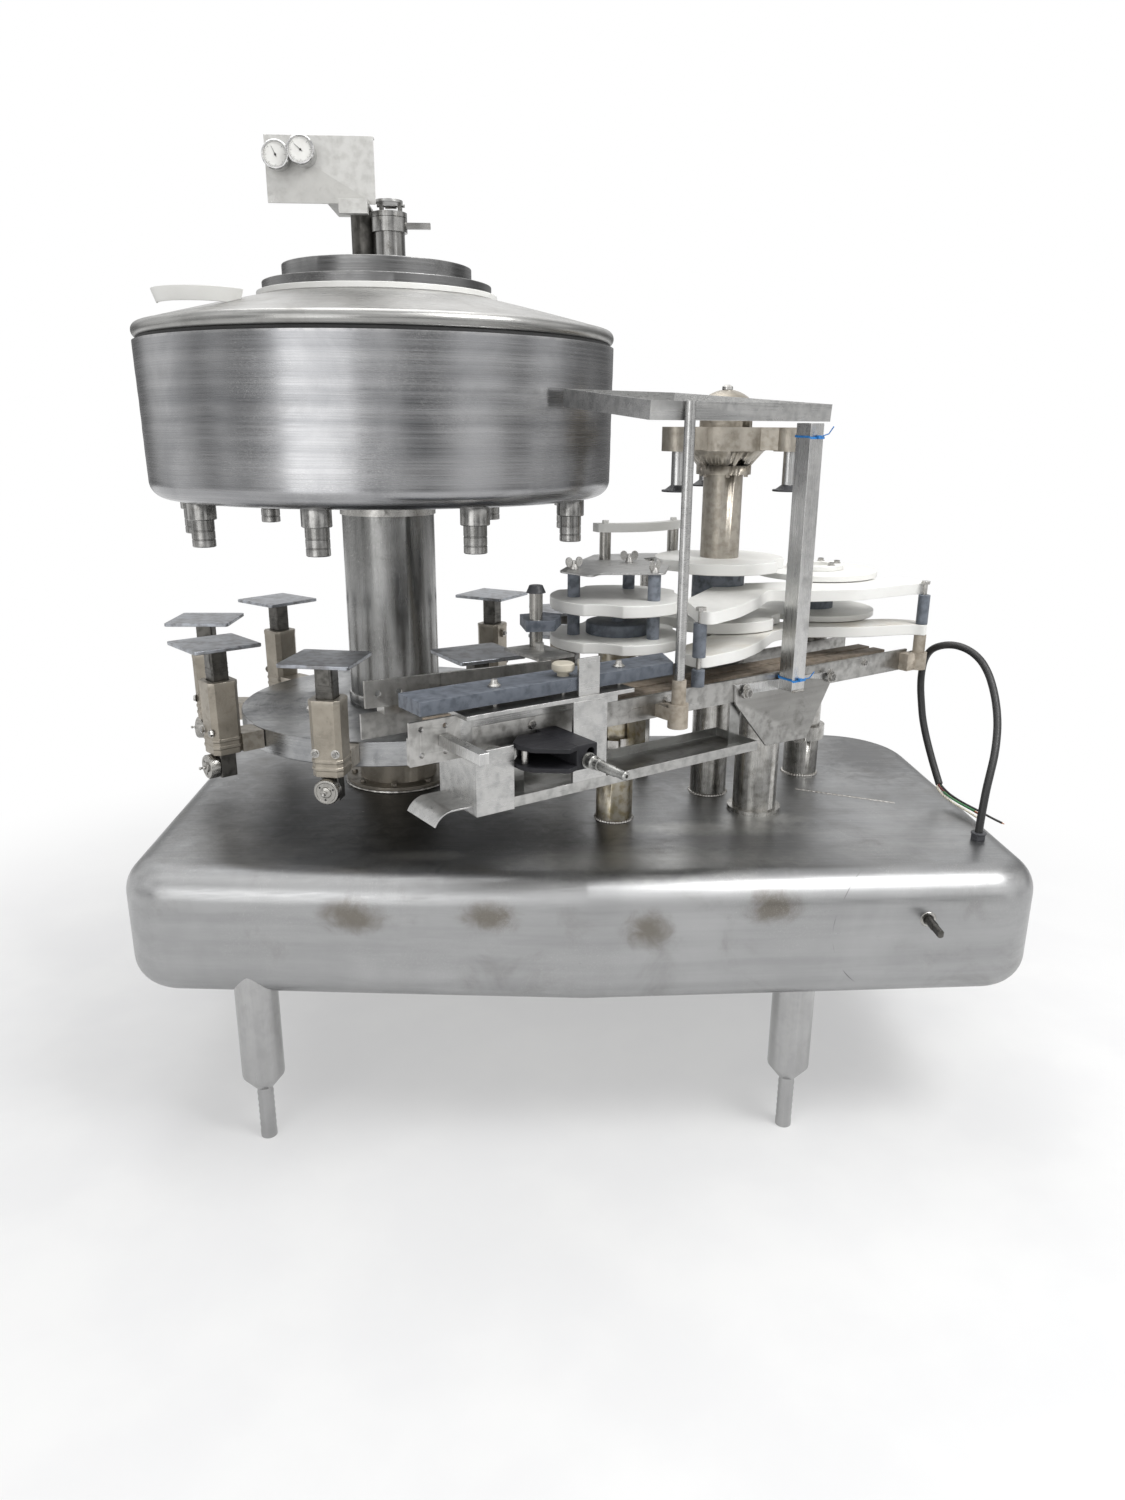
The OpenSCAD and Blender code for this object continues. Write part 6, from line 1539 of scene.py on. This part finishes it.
@dataclass
class Conveyor:
    """The slanting conveyor: rails, strips, pan, infeed guides, guide plates and their fittings."""

    scale: float = 0.650
    curl_r: float = 0.040
    ramp_t: float = 0.0028
    stud_n: float = 0.488
    stud_s: tuple[float, float] = (-0.386, -0.112)
    knob_s: float = -0.240
    low_shares: tuple[Vec2, ...] = (
        (0.166, -0.166), (0.2, -0.27), (0.24, -0.3), (0.37, -0.2), (0.465, -0.07), (0.515, 0.03), (0.565, 0.135),
        (0.67, 0.19), (0.885, 0.19), (1.09, 0.245), (1.14, 0.21), (1.16, 0.315), (1.045, 0.36), (0.77, 0.315),
        (0.555, 0.285), (0.37, 0.13), (0.26, -0.055))
    high_shares: tuple[Vec2, ...] = (
        (0.205, -0.105), (0.215, -0.31), (0.25, -0.345), (0.36, -0.22), (0.46, -0.045), (0.525, 0.105),
        (0.565, 0.105), (0.63, 0.085), (0.85, 0.115), (1.075, 0.245), (1.16, 0.27), (1.09, 0.425), (0.975, 0.37),
        (0.495, 0.27), (0.39, 0.27))

    def plate(self, node: str, shares: tuple[Vec2, ...], low: float, high: float, finish: Finish,
              cuts: list[tuple[Vec2, float]]) -> None:
        """Makes one guide plate with soft corners and round cuts.

        Args:
            node: the solid that it stands for.
            shares: its corners as shares of the scale, from the star's middle.
            low: its lower face.
            high: its upper face.
            finish: its plastic.
            cuts: the middle and radius of each round cut.
        """
        outline = np.array(STAR) + np.array(shares) * self.scale
        obj = make(f"{node}_cut", prism(rounded(outline, 0.42, 0.030), low, high), finish,
                   BODY_OF[node], Edge(0.0022, 3), (node,))
        for centre, radius in cuts:
            bore(obj, drum(radius, low - 0.01, high + 0.01, centre, 128))

    def infeed(self) -> None:
        """Makes the infeed bracket: bent sheets, ramp, square bar, studs and the flat knob.

        The ramp's section runs level and then round a circle that falls away from the line.
        """
        left, right, face = -0.4518, -0.374, 0.5262
        sheets = [slab(*sizes) for sizes in (
            (left, right, 0.526, 0.532, 0.850, 0.968), (left, -0.4458, 0.402, face, 0.850, 0.947),
            (left, right, 0.4772, face, 0.947, 0.953), (left, -0.3745, 0.402, face, 0.850, 0.8535),
            (-0.464, -0.103, 0.437, 0.526, 1.023, 1.031), (-0.464, -0.103, 0.471, 0.477, 0.995, 1.0232),
            (-0.243, -0.166, 0.520, 0.526, 0.870, 1.0232), (-0.228, -0.181, 0.515, 0.521, 1.0308, 1.100),
            (-0.462, -0.428, 0.4772, 0.4812, 0.953, 1.0232))]
        make("infeed_sheets", join(sheets), TRAY_STEEL, edge=Edge(0.0009), replaced=("infeed_bracket",))
        a = np.linspace(0.0, math.radians(66), 12)
        turn = np.column_stack([-0.492 - self.curl_r * np.sin(a), 0.8685 - self.curl_r * (1 - np.cos(a))])
        inner = turn + self.ramp_t * np.column_stack([np.sin(a), -np.cos(a)])
        section = np.vstack([[(-0.4505, 0.8685)], turn, inner[::-1], [(-0.4505, 0.8685 - self.ramp_t)]])
        make("infeed_ramp", bent_sheet(section, 0.420, 0.520), TRAY_STEEL, edge=Edge(0.0005))
        make("infeed_square_bar", slab(-0.496, -0.476, 0.483, 0.618, 0.975, 0.995), MAST_STEEL,
             edge=Edge(0.0012))
        studs = [drum(0.005, 1.0305, 1.0655, line_point(s, self.stud_n, 0.0)[:2], 24)
                 for s in (*self.stud_s, self.knob_s)]
        make("infeed_studs", join(studs), BOLT_STEEL)
        profile = [(0, 1.0652), (0.011, 1.0652), (0.0115, 1.072), (0.0175, 1.0735), (0.0205, 1.077),
                   (0.0212, 1.082), (0.0205, 1.087), (0.0175, 1.0895), (0, 1.0902)]
        make("infeed_knob", lathe(profile, line_point(self.knob_s, self.stud_n, 0.0)[:2], 48), KNOB_TAN)

    def fork(self) -> None:
        """Makes the black fork: two tapered plates, a back wall and a bored block, and its steel screw."""
        outline = rounded([(-0.372, -0.548), (-0.372, -0.522), (-0.338, -0.488), (-0.322, -0.496), (-0.252, -0.488),
                           (-0.252, -0.590), (-0.312, -0.6115), (-0.362, -0.572)], 0.3, 0.006)
        plates = [prism(outline, low, low + 0.0085).moved(turn=LINE_TURN) for low in (0.9255, 0.961)]
        wall = slab(-0.345, -0.290, 0.492, 0.500, 0.933, 0.962)
        pin = drum(0.006, 0.933, 0.962, line_point(-0.357, 0.540, 0.0)[:2], 24)
        make("fork_plates", join([*plates, wall]), FORK_PLASTIC, edge=SHEET, replaced=("fork_bracket",))
        make("fork_pin", pin, BOLT_STEEL)
        chunk = make("fork_block", slab(-0.292, -0.248, 0.4772, 0.604, 0.925, 0.970), FORK_PLASTIC,
                     edge=SHEET)
        bore(chunk, drum(0.0075, -0.03, 0.03, sides=32).laid(line_axis(), line_point(-0.262, 0.604, 0.955)))
        screw = lathe([(0, 0), (0.0145, 0), (0.0145, 0.003), (0.0115, 0.0035), (0.0125, 0.006), (0.0125, 0.019),
                       (0.0105, 0.021), (0.0095, 0.024), (0.0095, 0.030), (0.0108, 0.031), (0.0108, 0.036),
                       (0.0092, 0.037), (0.0092, 0.078), (0.0080, 0.080), (0.0080, 0.106), (0.0065, 0.108),
                       (0.0030, 0.108), (0.0026, 0.104), (0, 0.104)], sides=40)
        make("fork_screw", screw.laid(line_axis(), line_point(-0.268, 0.6038, 0.9405)), SCREW_STEEL)

    def bolts(self) -> None:
        """Adds bolt heads and the wear rail's cone nuts along the line."""
        out = line_axis()
        heads = [hex_head(0.008, 0.006).laid(out, line_point(s, 0.4875, 0.975)) for s in (0.230, 0.490)]
        heads += [hex_head(0.007, 0.005).laid(out, line_point(s, 0.4772, 0.980)) for s in (-0.30, 0.02, 0.62)]
        make("rail_bolts", join(heads), BOLT_STEEL)
        nuts = [lathe([(0, 0), (0.0115, 0), (0.0115, 0.0025), (0.0070, 0.006), (0.0055, 0.0125), (0, 0.0135)],
                      sides=28).moved(line_point(s, self.stud_n, 1.0652)) for s in self.stud_s]
        make("wear_rail_nuts", join(nuts), BOLT_STEEL)

    def build(self) -> None:
        """Makes the whole line."""
        rails = refine("side_rails", RAIL_STEEL, Edge(0.0009))
        zone(rails, MAST_STEEL, (-9, -9, 0.9), (9, 9, 0.946))
        refine("chain_strips", CHAIN_BROWN, SMALL)
        refine("drip_pan", PLAIN_STEEL, FINE)
        self.infeed()
        refine("wear_rail", SLATE_PLASTIC, Edge(0.0025, 3))
        refine("guide_bar", MOTTLED_BAR, SMALL)
        self.fork()
        self.plate("guide_plate_lower", self.low_shares, 1.030, 1.055, CREAM_PLASTIC,
                   [(STAR, 0.150), (CAPPER, 0.030)])
        self.plate("guide_plate_upper", self.high_shares, 1.124, 1.149, GREYED_PLASTIC,
                   [(STAR, 0.150), (CAPPER, 0.062), (DISCHARGE, 0.052)])
        refine("guide_spacers", SPACER_PLASTIC, SMALL)
        refine("guide_bolts", BOLT_STEEL, FINE)
        rear = refine("rear_guide", POST_STEEL, SMALL)
        zone(rear, GREYED_PLASTIC, (-9, -9, 1.2568), (9, 9, 9))
        refine("rear_plate", TRAY_STEEL, FINE)
        finger = refine("finger_guide", POST_STEEL, SMALL)
        zone(finger, SLATE_PLASTIC, (-9, -9, 1.0975), (9, 9, 1.1205))
        zone(finger, BLACK_PLASTIC, (-9, -9, 1.1755), (9, 9, 9))
        refine("rail_clamps", CAST_TAN, Edge(0.003, 3))
        self.bolts()


# Stars and capper


@dataclass
class Stars:
    """The transfer star, the capper with its star, and the discharge star, each on its shaft."""

    wing_r: float = 0.100
    wing_turns: tuple[float, ...] = (72.0, 192.0, 312.0)
    plate_r: float = 0.148
    pocket_r: float = 0.078
    pocket_at: float = 0.20835
    star_phase: float = 12.0
    head_phase: float = -23.5
    top_shares: tuple[Vec2, ...] = ((-0.89, -0.4), (-0.45, -0.86), (-0.32, -0.61), (0.58, -0.62), (0.77, 0.25),
                                    (0.48, 0.84), (-0.56, 0.8))

    def pocket_plate(self, centre: Vec2, phase: float, low: float, high: float) -> Surface:
        """A round plate with three round pockets.

        Along the ray at angle u off a pocket's middle, the edge lies at the nearer crossing
        with the pocket's circle, D cos(u) - sqrt(p^2 - D^2 sin(u)^2), or at the plate's own
        radius where that is less or there is no crossing.

        Args:
            centre: the shaft's place.
            phase: the first pocket's angle in degrees.
            low: its lower face.
            high: its upper face.

        Returns:
            The plate.
        """
        a = np.linspace(0, 2 * np.pi, 360, endpoint=False)
        u = (a + np.pi / 3) % (2 * np.pi / 3) - np.pi / 3
        under = self.pocket_r**2 - (self.pocket_at * np.sin(u)) ** 2
        near = np.where(under > 0, self.pocket_at * np.cos(u) - np.sqrt(np.maximum(under, 0)), self.plate_r)
        r = np.minimum(self.plate_r, near)
        flat = np.column_stack([r * np.cos(a), r * np.sin(a)])
        return prism(flat, low, high).moved((centre[0], centre[1], 0.0), phase)

    def around(self, centre: Vec2, surface: Surface) -> Surface:
        """Three copies of a surface on the wing nuts' circle."""
        copies = []
        for k, turn in enumerate(self.wing_turns):
            a = math.radians(turn)
            copies.append(surface.moved(turn=25.0 * k).moved(
                (centre[0] + self.wing_r * math.cos(a), centre[1] + self.wing_r * math.sin(a), 0.0)))
        return join(copies)

    def transfer(self) -> None:
        """Makes the transfer star: two white plates, slate hub and spacers, steel plate and wing nuts."""
        slot, body = SLOT_OF["transfer_star"], BODY_OF["transfer_star"]
        low = self.pocket_plate(STAR, self.star_phase, 1.046, 1.068)
        high = self.pocket_plate(STAR, self.star_phase, 1.124, 1.149)
        make("star_plates", low + high, GREYED_PLASTIC, body, Edge(0.0022, 3), ("transfer_star",))
        spacer = drum(0.0135, 1.068, 1.124, sides=32) + drum(0.0135, 1.149, 1.204, sides=32)
        hub = drum(0.070, 1.068, 1.093, STAR, 96, 0.002) + drum(0.0135, 1.093, 1.108, STAR, 32)
        make("star_spacers", self.around(STAR, spacer) + hub, SPACER_PLASTIC, body)
        outline = rounded(np.array(self.top_shares) * self.plate_r, 0.3, 0.016)
        make("star_top_plate", prism(outline, 1.204, 1.208).moved((STAR[0], STAR[1], 0.0)), TRAY_STEEL, body,
             FINE)
        make("star_wing_nuts", self.around(STAR, wing_nut().moved((0, 0, 1.208))), BOLT_STEEL, body)
        refine("transfer_drive", POST_STEEL, FINE)

    def capper(self) -> None:
        """Makes the capper head, its plungers and its star."""
        refine("capper_head", CAST_GREY, SMALL)
        refine("capper_drive", POST_STEEL, FINE)
        slot, body = SLOT_OF["capper_star"], BODY_OF["capper_star"]
        low = self.pocket_plate(CAPPER, self.head_phase, 1.057, 1.082)
        high = self.pocket_plate(CAPPER, self.head_phase, 1.185, 1.210)
        make("capper_star_plates", low + high, GREYED_PLASTIC, body, Edge(0.0022, 3), ("capper_star",))
        make("capper_star_hub", drum(0.060, 1.082, 1.185, CAPPER, 96), SPACER_PLASTIC, body)
        for k in range(3):
            node = f"capper_plunger_{k + 1}"
            rod = refine(node, MAST_STEEL, FINE)
            zone(rod, BLACK_PLASTIC, (-9, -9, 0.0), (9, 9, 1.372))
        cap = lathe([(0, 1.5735), (0.012, 1.5735), (0.0115, 1.580), (0.006, 1.5835), (0, 1.584)], CAPPER, 24)
        make("capper_dome_plug", cap, BOLT_STEEL, BODY_OF["capper_head"])

    def discharge(self) -> None:
        """Makes the discharge star: two discs, a slate hub, a white ring and its bolts."""
        slot, body = SLOT_OF["discharge_star"], BODY_OF["discharge_star"]
        discs = drum(self.plate_r, 1.057, 1.071, DISCHARGE, 160) + drum(self.plate_r, 1.151, 1.165, DISCHARGE, 160)
        ring = lathe([(0.040, 1.165), (0.068, 1.165), (0.068, 1.177), (0.040, 1.177)], DISCHARGE, 96, True)
        make("discharge_discs", discs + ring, GREYED_PLASTIC, body, Edge(0.0018, 3), ("discharge_star",))
        make("discharge_hub", drum(0.050, 1.071, 1.151, DISCHARGE, 96), SPACER_PLASTIC, body)
        head = hex_head(0.0075, 0.007).moved((0.054, 0.0, 1.177))
        bolts = [head.moved((DISCHARGE[0], DISCHARGE[1], 0.0), 60.0 * k) for k in range(6)]
        make("discharge_bolts", join(bolts), BOLT_STEEL, body)
        refine("discharge_drive", POST_STEEL, FINE)

    def build(self) -> None:
        """Makes the three stars and the posts that carry them."""
        posts = refine("support_columns", POST_STEEL, SMALL)
        zone(posts, POST_YELLOW, (-9, -9, 0.0), (9, 9, 9), STAR, (0.0, 0.085))
        zone(posts, BOLT_STEEL, (-9, -9, 0.769), (9, 9, 0.841), STAR, (0.0422, 0.1))
        self.transfer()
        self.capper()
        self.discharge()


# Mast and tray


@dataclass
class Mast:
    """The mast on its triangle bracket, with the cap tray and what hangs on it."""

    s: float = 0.350
    n: float = 0.502

    def tie(self, name: str, z: float, lean: float) -> None:
        """A cable tie round the mast.

        Its path is a rounded square a little larger than the mast, which leans as the sine
        of the way round.

        Args:
            name: the tie's name.
            z: its height.
            lean: how far it leans.
        """
        loop = round_rect(0.0425, 0.0425, 0.004, 5)
        turned = Surface(np.column_stack([loop, np.zeros(len(loop))]), []).moved(turn=LINE_TURN).points
        centre = np.array(line_point(self.s, self.n, z))
        path = turned + centre + np.column_stack([np.zeros((len(loop), 2)), lean * np.sin(
            np.linspace(0, 2 * np.pi, len(loop), endpoint=False))])
        n = len(path)
        out = path[:, :2] - centre[:2]
        out /= np.linalg.norm(out, axis=1, keepdims=True)
        rows = [np.column_stack([path[:, :2] + out * d, path[:, 2] + h]) for d, h in (
            (-0.0005, -0.002), (0.0008, -0.002), (0.0008, 0.002), (-0.0005, 0.002))]
        band = Surface(np.stack(rows, 1).reshape(-1, 3), grid_faces(n, 4, True, True))
        head = slab(self.s - 0.004, self.s + 0.004, self.n + 0.0205, self.n + 0.027, z - 0.003, z + 0.003)
        tail = tube([line_point(self.s + 0.002, self.n + 0.024, z),
                     line_point(self.s + 0.012, self.n + 0.038, z + 0.006),
                     line_point(self.s + 0.016, self.n + 0.046, z + 0.020)], 0.0012, 6, (0, 0, 1))
        make(name, join([band, head, tail]), TIE_BLUE)

    def build(self) -> None:
        """Makes the bracket, mast, tray, weld beads, bolts and ties."""
        bracket = refine("mast_bracket", MAST_STEEL, Edge(0.001))
        zone(bracket, RAIL_STEEL, (-9, -9, 0.80), (9, 9, 0.959))
        refine("cap_tray", TRAY_STEEL, Edge(0.0006))
        out = line_axis()
        bolts = [hex_head(0.010, 0.008).laid(out, line_point(s, 0.4905, 0.966)) for s in (0.230, 0.490)]
        make("bracket_bolts", join(bolts), BOLT_STEEL)
        beads = [weld_line(line_point(self.s - 0.019, self.n + 0.0195, z),
                           line_point(self.s + 0.019, self.n + 0.0195, z),
                           0.003) for z in (0.960,)]
        make("mast_weld", join(beads), WELD_STEEL)
        self.tie("mast_tie_low", 0.985, 0.003)
        self.tie("mast_tie_high", 1.478, 0.002)


def settings() -> None:
    """Shows colours as they are, with no film look."""
    bpy.context.scene.view_settings.view_transform = "Standard"


def main() -> None:
    """Builds the scene in order, logging each piece."""
    logging.basicConfig(level=logging.INFO, format="%(name)s %(message)s")
    settings()
    for part in (Studio(), PowerCable(), Base(), Turntable(), Bowl(), Conveyor(), Stars(), Mast()):
        LOG.info("building %s", type(part).__name__)
        part.build()


if __name__ == "__main__":
    main()
